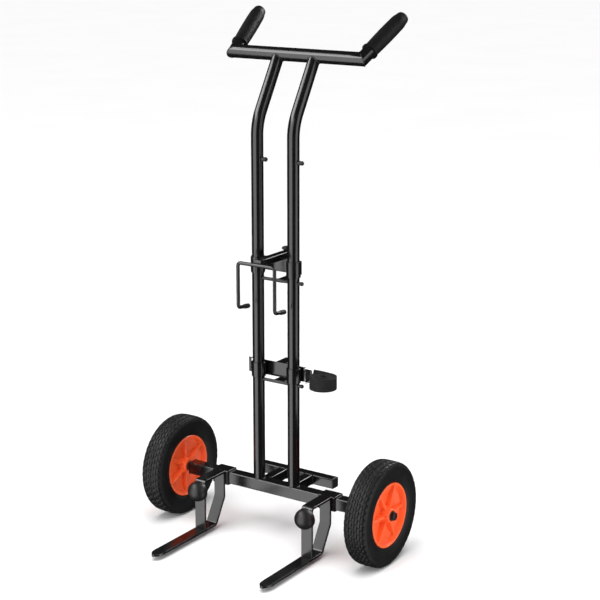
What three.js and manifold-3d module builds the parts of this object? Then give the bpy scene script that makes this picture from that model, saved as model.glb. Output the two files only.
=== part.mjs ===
// Drum dolly: a tall two-wheeled hand truck with sliding forks, a sliding rim hook and a sliding strap bar.
// Millimetres, +Z up. +X runs along the beam to the user's left, and the forks point to -Y.
import * as THREE from 'three';
import { mergeVertices } from 'three/addons/utils/BufferGeometryUtils.js';
import Module from 'manifold-3d';

const wasm = await Module();
wasm.setup();

// ---------------------------------------------------------------- driving dimensions
const TOUCH = 0.3; // gap kept between pieces that meet

const WHEEL_RADIUS = 125;
const WHEEL_OFFSET = 292.5; // wheel centre from the middle of the beam
const TYRE_HALF_WIDTH = 29;
const RIM_RADIUS = 77;
const AXLE_RADIUS = 8;
const AXLE_HALF_LENGTH = 329.6;

const BEAM_SIZE = 30;
const BEAM_WALL = 2;
const BEAM_HALF_LENGTH = 252;
const END_PLATE = 3;
const BEAM_TOP = WHEEL_RADIUS + BEAM_SIZE / 2;

const TUBE_RADIUS = 14.3;
const TUBE_WALL = 1.8;
const UPRIGHT_OFFSET = 50; // each upright from the middle
const KNEE_HEIGHT = 1006; // where the uprights lean back
const KNEE_RADIUS = 110;
const HANDLE_RADIUS = 15.9; // the handle bar is a thicker tube than the uprights
const HANDLE_HEIGHT = 1155;
const HANDLE_SETBACK = 90;
const HANDLE_CORNER = 175; // corner of the handle bar from the middle
const HANDLE_CORNER_RADIUS = 20;
const HANDLE_SPLAY = 0.149; // outward, backward and upward parts of the direction of a grip
const HANDLE_BACK = 0.84;
const HANDLE_RISE = 0.52;
const GRIP_START = 29; // along the grip, from the handle's corner
const GRIP_LENGTH = 140;
const STUB_LENGTH = 130;

const REAR_TUBE = 25;
const REAR_ARM_OFFSET = 37.2;
const REAR_BAR_FRONT = 84.2;
const REAR_BAR_HALF_LENGTH = 105;

const FORK_OFFSET = 154.7;
const BAR_WIDTH = 30; // flat bar of the forks
const BAR_THICKNESS = 6;
const SLEEVE_WALL = 3;
const SLEEVE_CLEARANCE = 0.5;
const SLEEVE_LENGTH = 46;
const FORK_BEND_HEIGHT = 76;
const TINE_HEIGHT = 15; // middle of the tine above the floor
const TINE_HEEL = -57;
const TINE_TIP = -288;
const TINE_TAPER = 26;
const BRACE_FRONT = -100.5; // middle of the front leg
const BUMPER_HEIGHT = 117;
const BUMPER_RADIUS = 24.5;
const BUMPER_BASE = 8; // its straight part, under the dome
const BUMPER_DEPTH = 30;

const PIN_RADIUS = 4; // the two pins across the uprights
const LOWER_PIN_HEIGHT = 393.4;
const UPPER_PIN_HEIGHT = 641.6;
const STUD_HEIGHT = 923;

const COLLAR_BORE = 15.1;
const COLLAR_RADIUS = 17;
const PLATE_FRONT = COLLAR_RADIUS + TOUCH;
const PLATE_THICKNESS = 3;
const STRAP_BAR = { bottom: 399.3, top: 435.3, halfLength: 91, slotInner: 75, slotOuter: 85, slotHeight: 31 };
const HOOK_BAR = { bottom: 654.5, top: 692.5, plateBottom: 658, plateTop: 691, halfLength: 60 };

const HOOK_ARM = { halfWidth: 10, bottom: 687, top: 703, back: 74 };
const WIRE_RADIUS = 4.3;
const HOOK_REACH = -78.7;
const HOOK_HALF_WIDTH = 51;
const HOOK_TOP = 692;
const HOOK_FOOT = { heel: 585, tip: 580.5, back: -39 };
const PULL = { halfWidth: 14, thickness: 3, back: 67.5, front: 9 };
const LOCK_KNOB_BACK = 47;

const ROLL = { x: 138, y: -9, radius: 33 };
const WEBBING = { width: 30, thickness: 2.6 };
const RING = { x: 84, y: 13.5, halfWidth: 14, halfHeight: 20, wire: 4 };

// ---------------------------------------------------------------- finishes
const finish = (color, roughness, metalness) =>
  new THREE.MeshStandardMaterial({ color, roughness, metalness });
const powderCoat = finish(0x1c1c1e, 0.45, 0.3);
const zincSteel = finish(0x3a3b3e, 0.4, 0.9);
const chromeSteel = finish(0xc8c8c8, 0.15, 1.0);
const orangePlastic = finish(0xf0592a, 0.45, 0.0);
const tyreRubber = finish(0x18191a, 0.85, 0.0);
const gripFoam = finish(0x141414, 0.9, 0.0);
const bumperRubber = finish(0x1a1a1a, 0.7, 0.0);
const blackPlastic = finish(0x121212, 0.5, 0.0);
const nylon = finish(0x202020, 0.5, 0.0);
const webbing = finish(0x101010, 0.9, 0.0);

// ---------------------------------------------------------------- geometry helpers
const dolly = new THREE.Group();

/** Adds one named sub-part to a group. */
function addPart(name, geometry, material, parent = dolly) {
  const mesh = new THREE.Mesh(geometry, material);
  mesh.name = name;
  parent.add(mesh);
}

/** A group placed at x, y, z inside the dolly. */
function groupAt(x, y, z) {
  const group = new THREE.Group();
  group.position.set(x, y, z);
  dolly.add(group);
  return group;
}

/** Keeps positions only, merges shared vertices and turns the faces outward. */
function tidy(geometry) {
  const bare = geometry.clone();
  bare.deleteAttribute('normal');
  bare.deleteAttribute('uv');
  const merged = mergeVertices(bare, 1e-4);
  const p = merged.attributes.position;
  const index = merged.index.array;
  const [a, b, c] = [new THREE.Vector3(), new THREE.Vector3(), new THREE.Vector3()];
  let volume = 0;
  for (let i = 0; i < index.length; i += 3) {
    a.fromBufferAttribute(p, index[i]);
    b.fromBufferAttribute(p, index[i + 1]);
    c.fromBufferAttribute(p, index[i + 2]);
    volume += a.dot(b.cross(c));
  }
  if (volume < 0) {
    for (let i = 0; i < index.length; i += 3) {
      [index[i], index[i + 1]] = [index[i + 1], index[i]];
    }
  }
  return merged;
}

/** A geometry as a solid that can be joined and cut. */
function solidOf(geometry) {
  const merged = tidy(geometry);
  return new wasm.Manifold(new wasm.Mesh({
    numProp: 3,
    vertProperties: new Float32Array(merged.attributes.position.array),
    triVerts: new Uint32Array(merged.index.array),
  }));
}

/** A solid back as a geometry. */
function geometryOf(solid) {
  const mesh = solid.getMesh();
  const geometry = new THREE.BufferGeometry();
  geometry.setAttribute('position', new THREE.BufferAttribute(new Float32Array(mesh.vertProperties), 3));
  geometry.setIndex(new THREE.BufferAttribute(new Uint32Array(mesh.triVerts), 1));
  return geometry;
}

const cut = (geometry, ...tools) =>
  geometryOf(tools.reduce((solid, tool) => solid.subtract(solidOf(tool)), solidOf(geometry)));
const join = (geometry, ...others) =>
  geometryOf(others.reduce((solid, other) => solid.add(solidOf(other)), solidOf(geometry)));
const overlapOf = (a, b) => geometryOf(solidOf(a).intersect(solidOf(b)));

/** A box between two values on each axis. */
function box([x0, x1], [y0, y1], [z0, z1]) {
  const geometry = new THREE.BoxGeometry(x1 - x0, y1 - y0, z1 - z0);
  return geometry.translate((x0 + x1) / 2, (y0 + y1) / 2, (z0 + z1) / 2);
}

/** A turned piece along an axis; the profile lists [radius, place along the axis]. */
function turned(profile, axis, segments = 24) {
  const points = profile.map(([radius, along]) => new THREE.Vector2(radius, along));
  const geometry = new THREE.LatheGeometry(points, segments);
  const turn = new THREE.Quaternion().setFromUnitVectors(new THREE.Vector3(0, 1, 0), axis);
  return tidy(geometry.applyQuaternion(turn));
}
const ALONG_X = new THREE.Vector3(1, 0, 0);
const ALONG_Y = new THREE.Vector3(0, 1, 0);
const ALONG_Z = new THREE.Vector3(0, 0, 1);

/** A plain rod along an axis, from one value to another. */
const rod = (radius, from, to, axis, segments = 16) =>
  turned([[0, from], [radius, from], [radius, to], [0, to]], axis, segments);
/** A plain ring or sleeve along an axis. */
const ring = (bore, radius, from, to, axis, segments = 20) =>
  turned([[bore, from], [radius, from], [radius, to], [bore, to], [bore, from]], axis, segments);

/** A route of straight runs and round corners, kept as exact points and directions. */
class Route extends THREE.Curve {
  constructor(corners, radius, cornerSteps) {
    super();
    this.points = [];
    this.tangents = [];
    const last = corners.length - 1;
    const push = (point, tangent) => {
      this.points.push(point);
      this.tangents.push(tangent.clone().normalize());
    };
    push(corners[0], corners[1].clone().sub(corners[0]));
    for (let i = 1; i < last; i += 1) {
      const into = corners[i].clone().sub(corners[i - 1]).normalize();
      const out = corners[i + 1].clone().sub(corners[i]).normalize();
      const turn = into.angleTo(out);
      const reach = radius * Math.tan(turn / 2);
      const start = corners[i].clone().addScaledVector(into, -reach);
      const inward = out.clone().addScaledVector(into, -into.dot(out)).normalize();
      for (let k = 0; k <= cornerSteps; k += 1) {
        const angle = (turn * k) / cornerSteps;
        const point = start.clone()
          .addScaledVector(into, radius * Math.sin(angle))
          .addScaledVector(inward, radius * (1 - Math.cos(angle)));
        const tangent = into.clone().multiplyScalar(Math.cos(angle))
          .addScaledVector(inward, Math.sin(angle));
        push(point, tangent);
      }
    }
    push(corners[last], corners[last].clone().sub(corners[last - 1]));
  }

  get steps() {
    return this.points.length - 1;
  }

  getPointAt(u) {
    return this.points[Math.round(u * this.steps)].clone();
  }

  getTangentAt(u) {
    return this.tangents[Math.round(u * this.steps)].clone();
  }
}

/** A round rod or tube swept along a route; a bore of 0 leaves it solid. */
function swept(route, radius, bore, halfSegments) {
  const section = new THREE.Shape().absarc(0, 0, radius, 0, 2 * Math.PI);
  if (bore > 0) {
    section.holes.push(new THREE.Path().absarc(0, 0, bore, 0, 2 * Math.PI, true));
  }
  return tidy(new THREE.ExtrudeGeometry(section, {
    steps: route.steps, extrudePath: route, curveSegments: halfSegments, bevelEnabled: false,
  }));
}

/** Extrudes an outline by a depth, with its first and second axes and its depth along given axes. */
function extruded(outline, depth, first, second, across) {
  const geometry = new THREE.ExtrudeGeometry(outline, { depth, bevelEnabled: false, curveSegments: 6 });
  return tidy(geometry.applyMatrix4(new THREE.Matrix4().makeBasis(first, second, across)));
}
/** An outline in Y and Z, carried along X between two values. */
const alongX = (outline, x0, x1) =>
  extruded(outline, x1 - x0, ALONG_Y, ALONG_Z, ALONG_X).translate(x0, 0, 0);
/** An outline in X and Y, carried along Z between two values. */
const alongZ = (outline, z0, z1) =>
  extruded(outline, z1 - z0, ALONG_X, ALONG_Y, ALONG_Z).translate(0, 0, z0);
/** An outline in Z and X, carried along Y between two values. */
const alongY = (outline, y0, y1) =>
  extruded(outline, y1 - y0, ALONG_Z, ALONG_X, ALONG_Y).translate(0, y0, 0);

/** The edge-on outline of a bent strip that follows a route in a plane. */
function stripOutline(places, thickness, radius) {
  const route = new Route(places.map(([a, b]) => new THREE.Vector3(a, b, 0)), radius, 4);
  const side = (sign) => route.points.map((point, i) => new THREE.Vector2(
    point.x - (sign * thickness * route.tangents[i].y) / 2,
    point.y + (sign * thickness * route.tangents[i].x) / 2,
  ));
  return new THREE.Shape([...side(1), ...side(-1).reverse()]);
}

/** A rectangle with round corners, centred on a place, as a shape or a hole. */
function roundedRectangle(Kind, cx, cy, halfWidth, halfHeight, radius) {
  const outline = new Kind();
  const corners = [[1, -1], [1, 1], [-1, 1], [-1, -1]];
  corners.forEach(([sx, sy], i) => {
    const x = cx + sx * (halfWidth - radius);
    const y = cy + sy * (halfHeight - radius);
    outline.absarc(x, y, radius, ((i - 1) * Math.PI) / 2, (i * Math.PI) / 2);
  });
  outline.closePath();
  return outline;
}

/** A hexagonal prism along X or Y, for bolt heads and nuts. */
const hexagon = (acrossFlats, from, to, axis) => rod(acrossFlats / Math.sqrt(3), from, to, axis, 6);

const SIDES = [['left', -1], ['right', 1]];

// ---------------------------------------------------------------- beam, axle and rear frame
function buildBase() {
  const half = BEAM_SIZE / 2;
  const bore = half - BEAM_WALL;
  const section = roundedRectangle(THREE.Shape, 0, WHEEL_RADIUS, half, half, 2.5);
  section.holes.push(roundedRectangle(THREE.Path, 0, WHEEL_RADIUS, bore, bore, 1));
  addPart('beam', alongX(section, -BEAM_HALF_LENGTH, BEAM_HALF_LENGTH), powderCoat);
  addPart('axle', rod(AXLE_RADIUS, -AXLE_HALF_LENGTH, AXLE_HALF_LENGTH, ALONG_X)
    .translate(0, 0, WHEEL_RADIUS), zincSteel);

  const rearHalf = REAR_TUBE / 2;
  const rearMiddle = BEAM_TOP - rearHalf;
  const tube = (Kind, cx, inset) =>
    roundedRectangle(Kind, cx, rearMiddle, rearHalf - inset, rearHalf - inset, 2);
  const barY = REAR_BAR_FRONT + rearHalf;
  const barSection = tube(THREE.Shape, barY, 0);
  barSection.holes.push(tube(THREE.Path, barY, BEAM_WALL));
  addPart('rear_bar', alongX(barSection, -REAR_BAR_HALF_LENGTH, REAR_BAR_HALF_LENGTH), powderCoat);

  for (const [side, s] of SIDES) {
    const plateFrom = BEAM_HALF_LENGTH + TOUCH;
    const plate = box([plateFrom, plateFrom + END_PLATE], [-half, half], [BEAM_TOP - BEAM_SIZE, BEAM_TOP]);
    const hole = rod(AXLE_RADIUS + TOUCH, plateFrom - 1, plateFrom + END_PLATE + 1, ALONG_X)
      .translate(0, 0, WHEEL_RADIUS);
    addPart(`${side}_beam_end_plate`, tidy(cut(plate, hole).scale(s, 1, 1)), powderCoat);

    const armSection = roundedRectangle(THREE.Shape, rearMiddle, s * REAR_ARM_OFFSET, rearHalf, rearHalf, 2);
    const armBore = rearHalf - BEAM_WALL;
    armSection.holes.push(
      roundedRectangle(THREE.Path, rearMiddle, s * REAR_ARM_OFFSET, armBore, armBore, 1),
    );
    addPart(`${side}_rear_arm`, alongY(armSection, half + TOUCH, REAR_BAR_FRONT - TOUCH), powderCoat);

    const capFrom = REAR_BAR_HALF_LENGTH + TOUCH;
    const cap = alongX(tube(THREE.Shape, barY, 0), capFrom, capFrom + 2.5);
    addPart(`${side}_rear_bar_cap`, tidy(cap.scale(s, 1, 1)), blackPlastic);
  }
}

// ---------------------------------------------------------------- uprights and handle
function buildFrame() {
  const crossBar = rod(HANDLE_RADIUS + TOUCH, -120, 120, ALONG_X, 32)
    .translate(0, HANDLE_SETBACK, HANDLE_HEIGHT);
  for (const [side, s] of SIDES) {
    const x = s * UPRIGHT_OFFSET;
    const route = new Route([
      new THREE.Vector3(x, 0, BEAM_TOP + TOUCH),
      new THREE.Vector3(x, 0, KNEE_HEIGHT),
      new THREE.Vector3(x, HANDLE_SETBACK, HANDLE_HEIGHT),
    ], KNEE_RADIUS, 5);
    const tube = swept(route, TUBE_RADIUS, TUBE_RADIUS - TUBE_WALL, 9);
    const drill = (height, radius, from, to) => rod(radius + TOUCH, x + from, x + to, ALONG_X)
      .translate(0, 0, height);
    const through = TUBE_RADIUS + 2;
    addPart(`${side}_upright`, cut(
      tube,
      crossBar,
      drill(LOWER_PIN_HEIGHT, PIN_RADIUS, -through, through),
      drill(UPPER_PIN_HEIGHT, PIN_RADIUS, -through, through),
      drill(STUD_HEIGHT, 3, 5, through),
    ), powderCoat);

    const studStart = x + TUBE_RADIUS - 6;
    const studEnd = x + TUBE_RADIUS + 13;
    addPart(`${side}_stop_stud`, turned([
      [0, studStart], [3, studStart], [3, studEnd - 6], [5.5, studEnd - 5],
      [5.5, studEnd - 2], [3, studEnd], [0, studEnd],
    ], ALONG_X, 12).translate(0, 0, STUD_HEIGHT), blackPlastic);
  }

  for (const [name, height] of [['lower', LOWER_PIN_HEIGHT], ['upper', UPPER_PIN_HEIGHT]]) {
    const outside = UPRIGHT_OFFSET + TUBE_RADIUS + TOUCH;
    addPart(`${name}_cross_pin`, turned([
      [0, -outside], [PIN_RADIUS, -outside], [PIN_RADIUS, outside + 6], [4.8, outside + 6],
      [4.8, outside + 10], [3.2, outside + 12.5], [0, outside + 13],
    ], ALONG_X, 12).translate(0, 0, height), zincSteel);
  }

  const gripWay = (s) => new THREE.Vector3(s * HANDLE_SPLAY, HANDLE_BACK, HANDLE_RISE).normalize();
  const corner = (s) => new THREE.Vector3(s * HANDLE_CORNER, HANDLE_SETBACK, HANDLE_HEIGHT);
  const stubEnd = (s) => corner(s).addScaledVector(gripWay(s), STUB_LENGTH);
  const route = new Route([stubEnd(-1), corner(-1), corner(1), stubEnd(1)], HANDLE_CORNER_RADIUS, 4);
  addPart('handle_bar', swept(route, HANDLE_RADIUS, HANDLE_RADIUS - TUBE_WALL, 9), powderCoat);

  const bore = HANDLE_RADIUS + 0.4;
  const closed = STUB_LENGTH - GRIP_START + TOUCH;
  const gripProfile = [
    [bore, 0], [19.5, 0], [19.5, 4], [17.4, 7], [17.8, 35], [18.4, 75], [18, 115], [15.8, 131],
    [9, 138], [0, GRIP_LENGTH], [0, closed], [bore, closed], [bore, 0],
  ];
  for (const [side, s] of SIDES) {
    const base = corner(s).addScaledVector(gripWay(s), GRIP_START);
    addPart(`${side}_grip`, turned(gripProfile, gripWay(s), 16).translate(base.x, base.y, base.z), gripFoam);
  }
}

// ---------------------------------------------------------------- wheels
const HUB = { radius: 16, root: 21, bore: 10.5, inner: -28, outer: 30 };
const BUSH = { radius: 10.2, bore: AXLE_RADIUS + 0.25, length: 20, flange: 12, flangeThickness: 1.5 };

/** The rim with its six ribs, turned on its axle by a given angle. */
function rimGeometry(turn) {
  const barrelInner = 69;
  const lip = 26;
  const web = 4;
  const body = turned([
    [HUB.bore, HUB.inner], [HUB.radius, HUB.inner], [HUB.root, -web], [barrelInner, -web],
    [barrelInner + 3, -lip], [RIM_RADIUS, -lip], [RIM_RADIUS, lip], [barrelInner + 3, lip],
    [barrelInner, web], [HUB.root, web], [HUB.radius, HUB.outer], [HUB.bore, HUB.outer],
    [HUB.bore, HUB.inner],
  ], ALONG_X, 36);
  const ribs = [];
  for (let i = 0; i < 6; i += 1) {
    const rib = box([-18, 18], [-2.5, 2.5], [HUB.root - 3, barrelInner + 2]);
    ribs.push(rib.rotateX(turn + (i * Math.PI) / 3));
  }
  return join(body, ...ribs);
}

function buildWheels() {
  const sidewall = TYRE_HALF_WIDTH;
  const tyreHalf = [[RIM_RADIUS + TOUCH, 25], [83, 28], [94, sidewall], [112, sidewall], [119.5, 26.8],
    [123.6, 21], [WHEEL_RADIUS, 12]];
  const tyreProfile = [
    ...tyreHalf, ...tyreHalf.map(([r, x]) => [r, -x]).reverse(), tyreHalf[0],
  ];
  const tyre = turned(tyreProfile, ALONG_X, 36);
  const bush = (face, way) => turned([
    [BUSH.bore, face], [BUSH.flange, face], [BUSH.flange, face - way * BUSH.flangeThickness],
    [BUSH.radius, face - way * BUSH.flangeThickness], [BUSH.radius, face - way * BUSH.length],
    [BUSH.bore, face - way * BUSH.length], [BUSH.bore, face],
  ], ALONG_X, 20);
  const innerFace = HUB.inner - TOUCH - BUSH.flangeThickness;
  const outerFace = HUB.outer + TOUCH + BUSH.flangeThickness;
  const spacerFrom = BEAM_HALF_LENGTH + END_PLATE + 2 * TOUCH - WHEEL_OFFSET;
  const axleEnd = AXLE_HALF_LENGTH - WHEEL_OFFSET;
  const washerFrom = outerFace + TOUCH;
  const capFrom = washerFrom + 1.5 + TOUCH;
  const capBore = AXLE_RADIUS + TOUCH;

  for (const [side, s] of SIDES) {
    const wheel = groupAt(s * WHEEL_OFFSET, 0, WHEEL_RADIUS);
    wheel.rotation.z = s > 0 ? 0 : Math.PI;
    addPart(`${side}_tyre`, tyre, tyreRubber, wheel);
    addPart(`${side}_rim`, rimGeometry(s > 0 ? Math.PI / 6 : 0), orangePlastic, wheel);
    addPart(`${side}_inner_bush`, bush(innerFace, -1), nylon, wheel);
    addPart(`${side}_outer_bush`, bush(outerFace, 1), nylon, wheel);
    addPart(`${side}_wheel_spacer`, ring(capBore, 12, spacerFrom, innerFace - TOUCH, ALONG_X, 16),
      zincSteel, wheel);
    addPart(`${side}_axle_washer`, ring(capBore, 9.6, washerFrom, washerFrom + 1.5, ALONG_X, 16),
      zincSteel, wheel);
    addPart(`${side}_hub_cap`, turned([
      [capBore, capFrom], [9.8, capFrom], [9.8, axleEnd + 1.5], [6, axleEnd + 3.3], [0, axleEnd + 3.8],
      [0, axleEnd + TOUCH], [capBore, axleEnd + TOUCH], [capBore, capFrom],
    ], ALONG_X, 16), blackPlastic, wheel);
  }
}

// ---------------------------------------------------------------- forks
function buildForks() {
  const half = BAR_WIDTH / 2;
  const inner = BEAM_SIZE / 2 + SLEEVE_CLEARANCE;
  const outer = inner + SLEEVE_WALL;
  const sleeveSection = roundedRectangle(THREE.Shape, 0, WHEEL_RADIUS, outer, outer, 3);
  sleeveSection.holes.push(roundedRectangle(THREE.Path, 0, WHEEL_RADIUS, inner, inner, 2));
  const lockHole = rod(4 + TOUCH, inner - 1, outer + 1, ALONG_Y).translate(0, 0, WHEEL_RADIUS);
  const sleeve = cut(alongX(sleeveSection, -SLEEVE_LENGTH / 2, SLEEVE_LENGTH / 2), lockHole);

  const legBack = -outer - TOUCH;
  const legMiddle = legBack - BAR_THICKNESS / 2;
  const armMiddle = WHEEL_RADIUS + outer - BAR_THICKNESS / 2;
  const tineSide = alongX(stripOutline([
    [legMiddle, armMiddle - BAR_THICKNESS / 2 - TOUCH], [legMiddle, FORK_BEND_HEIGHT],
    [TINE_HEEL, TINE_HEIGHT], [TINE_TIP, TINE_HEIGHT],
  ], BAR_THICKNESS, 12), -half, half);
  const plan = new THREE.Shape();
  plan.moveTo(half, 0);
  plan.lineTo(-half, 0);
  plan.lineTo(-half, TINE_TIP + TINE_TAPER);
  plan.quadraticCurveTo(-half + 2, TINE_TIP + 1, 0, TINE_TIP);
  plan.quadraticCurveTo(half - 2, TINE_TIP + 1, half, TINE_TIP + TINE_TAPER);
  plan.closePath();
  const tine = overlapOf(tineSide, alongZ(plan, 0, BEAM_TOP + 10));

  const tineTop = TINE_HEIGHT + BAR_THICKNESS / 2 + TOUCH;
  const screwHole = rod(4 + TOUCH, BRACE_FRONT - 5, BRACE_FRONT + 5, ALONG_Y)
    .translate(0, 0, BUMPER_HEIGHT);
  const brace = cut(alongX(stripOutline([
    [legBack, armMiddle], [BRACE_FRONT, armMiddle], [BRACE_FRONT, tineTop],
  ], BAR_THICKNESS, 7), -half, half), screwHole);

  const bumperBack = BRACE_FRONT - BAR_THICKNESS / 2 - TOUCH;
  const dome = (angle) => [
    BUMPER_RADIUS * Math.cos(angle),
    bumperBack - BUMPER_BASE - (BUMPER_DEPTH - BUMPER_BASE) * Math.sin(angle),
  ];
  const domeSteps = [0, 1, 2, 3].map((i) => dome((i * Math.PI) / 8));
  const screwDepth = bumperBack - 12;
  const bumper = turned([
    [4 + TOUCH, bumperBack], [BUMPER_RADIUS, bumperBack], ...domeSteps, [0, bumperBack - BUMPER_DEPTH],
    [0, screwDepth - TOUCH], [4 + TOUCH, screwDepth - TOUCH], [4 + TOUCH, bumperBack],
  ], ALONG_Y, 20).translate(0, 0, BUMPER_HEIGHT);

  const nutFrom = BRACE_FRONT + BAR_THICKNESS / 2 + TOUCH;
  const bumperScrew = join(
    rod(4, screwDepth, nutFrom + 1, ALONG_Y, 12),
    hexagon(13, nutFrom, nutFrom + 5.5, ALONG_Y),
  ).translate(0, 0, BUMPER_HEIGHT);
  const lockFrom = BEAM_SIZE / 2 + TOUCH;
  const headFrom = outer + TOUCH;
  const lockBolt = join(
    rod(4, lockFrom, headFrom + 1, ALONG_Y, 12),
    hexagon(13, headFrom, headFrom + 5.5, ALONG_Y),
  ).translate(0, 0, WHEEL_RADIUS);

  for (const [side, s] of SIDES) {
    const fork = groupAt(s * FORK_OFFSET, 0, 0);
    addPart(`${side}_fork_sleeve`, sleeve, powderCoat, fork);
    addPart(`${side}_tine`, tine, powderCoat, fork);
    addPart(`${side}_fork_brace`, brace, powderCoat, fork);
    addPart(`${side}_bumper`, bumper, bumperRubber, fork);
    addPart(`${side}_bumper_screw`, bumperScrew, zincSteel, fork);
    addPart(`${side}_fork_lock_bolt`, lockBolt, zincSteel, fork);
  }
}

// ---------------------------------------------------------------- sliding carriages
/** The two collars of a carriage, one around each upright. */
function addCollars(carriage, bottom, top) {
  for (const [side, s] of SIDES) {
    const collar = ring(COLLAR_BORE, COLLAR_RADIUS, bottom, top, ALONG_Z)
      .translate(s * UPRIGHT_OFFSET, 0, 0);
    addPart(`${carriage}_${side}_collar`, collar, powderCoat);
  }
}

/** A strip of a pull handle, bent along places given in Y and Z. */
const pullStrip = (places) =>
  alongX(stripOutline(places, PULL.thickness, 6), -PULL.halfWidth, PULL.halfWidth);

function buildStrapCarriage() {
  const { bottom, top, halfLength, slotInner, slotOuter, slotHeight } = STRAP_BAR;
  const middle = (bottom + top) / 2;
  const outline = roundedRectangle(THREE.Shape, middle, 0, (top - bottom) / 2, halfLength, 2);
  for (const [, s] of SIDES) {
    const slotX = (s * (slotInner + slotOuter)) / 2;
    const slotHalf = (slotOuter - slotInner) / 2;
    outline.holes.push(roundedRectangle(THREE.Path, middle, slotX, slotHeight / 2, slotHalf, 1.5));
  }
  addPart('strap_bar', alongY(outline, PLATE_FRONT, PLATE_FRONT + PLATE_THICKNESS), powderCoat);
  addCollars('strap', bottom, top);
  const plateBack = PLATE_FRONT + PLATE_THICKNESS + TOUCH;
  const flange = top - PULL.thickness / 2;
  const floor = bottom - 8;
  addPart('strap_pull_handle', pullStrip([
    [plateBack, flange], [PULL.back, flange], [PULL.back, floor], [PULL.front, floor],
  ]), powderCoat);

  const ringOutline = roundedRectangle(THREE.Shape, middle, RING.x, RING.halfHeight, RING.halfWidth, 5);
  ringOutline.holes.push(roundedRectangle(
    THREE.Path, middle, RING.x, RING.halfHeight - RING.wire, RING.halfWidth - RING.wire, 2,
  ));
  addPart('strap_ring', alongY(ringOutline, RING.y - RING.wire / 2, RING.y + RING.wire / 2), chromeSteel);

  // The webbing leaves the ring, passes back through the slot and runs out to its roll.
  const lead = stripOutline([
    [RING.x - RING.halfWidth + RING.wire + 1, RING.y], [slotOuter + 1.5, 24.6],
    [ROLL.x, ROLL.y + ROLL.radius - WEBBING.thickness / 2],
  ], WEBBING.thickness, 10);
  const coil = new THREE.Shape().absarc(ROLL.x, ROLL.y, ROLL.radius, 0, 2 * Math.PI);
  const [low, high] = [middle - WEBBING.width / 2, middle + WEBBING.width / 2];
  addPart('strap_roll', join(alongZ(lead, low, high), alongZ(coil, low, high)), webbing);
}

function buildHookCarriage() {
  const { bottom, top, plateBottom, plateTop, halfLength } = HOOK_BAR;
  const middle = (plateBottom + plateTop) / 2;
  const outline = roundedRectangle(THREE.Shape, middle, 0, (plateTop - plateBottom) / 2, halfLength, 2);
  const plate = alongY(outline, PLATE_FRONT, PLATE_FRONT + PLATE_THICKNESS);
  const notchHalf = HOOK_ARM.halfWidth + TOUCH;
  const notch = box([-notchHalf, notchHalf], [PLATE_FRONT - 1, PLATE_FRONT + PLATE_THICKNESS + 1],
    [HOOK_ARM.bottom - TOUCH, plateTop + 1]);
  addPart('hook_plate', cut(plate, notch), powderCoat);
  addCollars('hook', bottom, top);

  const screwRadius = 3.5;
  const armFront = HOOK_REACH + WIRE_RADIUS + TOUCH;
  const bar = box([-HOOK_ARM.halfWidth, HOOK_ARM.halfWidth], [armFront, HOOK_ARM.back],
    [HOOK_ARM.bottom, HOOK_ARM.top]);
  const hole = rod(screwRadius + TOUCH, HOOK_ARM.bottom - 1, HOOK_ARM.top + 1, ALONG_Z)
    .translate(0, LOCK_KNOB_BACK, 0);
  addPart('hook_arm', cut(bar, hole), powderCoat);
  const knobFrom = HOOK_ARM.top + TOUCH;
  addPart('hook_lock_knob', turned([
    [0, HOOK_ARM.bottom - 5], [screwRadius, HOOK_ARM.bottom - 5], [screwRadius, knobFrom],
    [6, knobFrom], [6, knobFrom + 2], [12, knobFrom + 3], [12, knobFrom + 8], [10, knobFrom + 9.5],
    [0, knobFrom + 10],
  ], ALONG_Z, 20).translate(0, LOCK_KNOB_BACK, 0), blackPlastic);
  const floor = bottom - 19;
  addPart('hook_pull_handle', pullStrip([
    [PULL.back, HOOK_ARM.bottom - TOUCH], [PULL.back, floor], [PULL.front, floor],
  ]), powderCoat);

  const x = HOOK_HALF_WIDTH;
  const tip = (s) => new THREE.Vector3(s * x, HOOK_FOOT.back, HOOK_FOOT.tip);
  const heel = (s) => new THREE.Vector3(s * x, HOOK_REACH, HOOK_FOOT.heel);
  const shoulder = (s) => new THREE.Vector3(s * x, HOOK_REACH, HOOK_TOP);
  const route = new Route([tip(-1), heel(-1), shoulder(-1), shoulder(1), heel(1), tip(1)], 8, 5);
  addPart('rim_hook', swept(route, WIRE_RADIUS, 0, 6), powderCoat);
  const bore = WIRE_RADIUS + TOUCH;
  for (const [side, s] of SIDES) {
    const way = tip(s).sub(heel(s)).normalize();
    const end = tip(s);
    addPart(`${side}_hook_tip`, turned([
      [bore, -17], [5.6, -17], [5.8, 1], [4.5, 2.6], [0, 2.6], [0, TOUCH], [bore, TOUCH], [bore, -17],
    ], way, 12).translate(end.x, end.y, end.z), bumperRubber);
  }
}

buildBase();
buildFrame();
buildWheels();
buildForks();
buildStrapCarriage();
buildHookCarriage();

// The origin stands on the floor under the middle of the whole object, front to back.
const bounds = new THREE.Box3().setFromObject(dolly);
dolly.position.y = -(bounds.min.y + bounds.max.y) / 2;

export default dolly;
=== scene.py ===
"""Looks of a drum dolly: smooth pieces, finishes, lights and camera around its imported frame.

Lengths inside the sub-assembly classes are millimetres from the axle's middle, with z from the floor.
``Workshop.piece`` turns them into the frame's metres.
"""

import logging
import math
from dataclasses import dataclass, field
from enum import Enum
from typing import Callable, Iterable, Sequence

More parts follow.
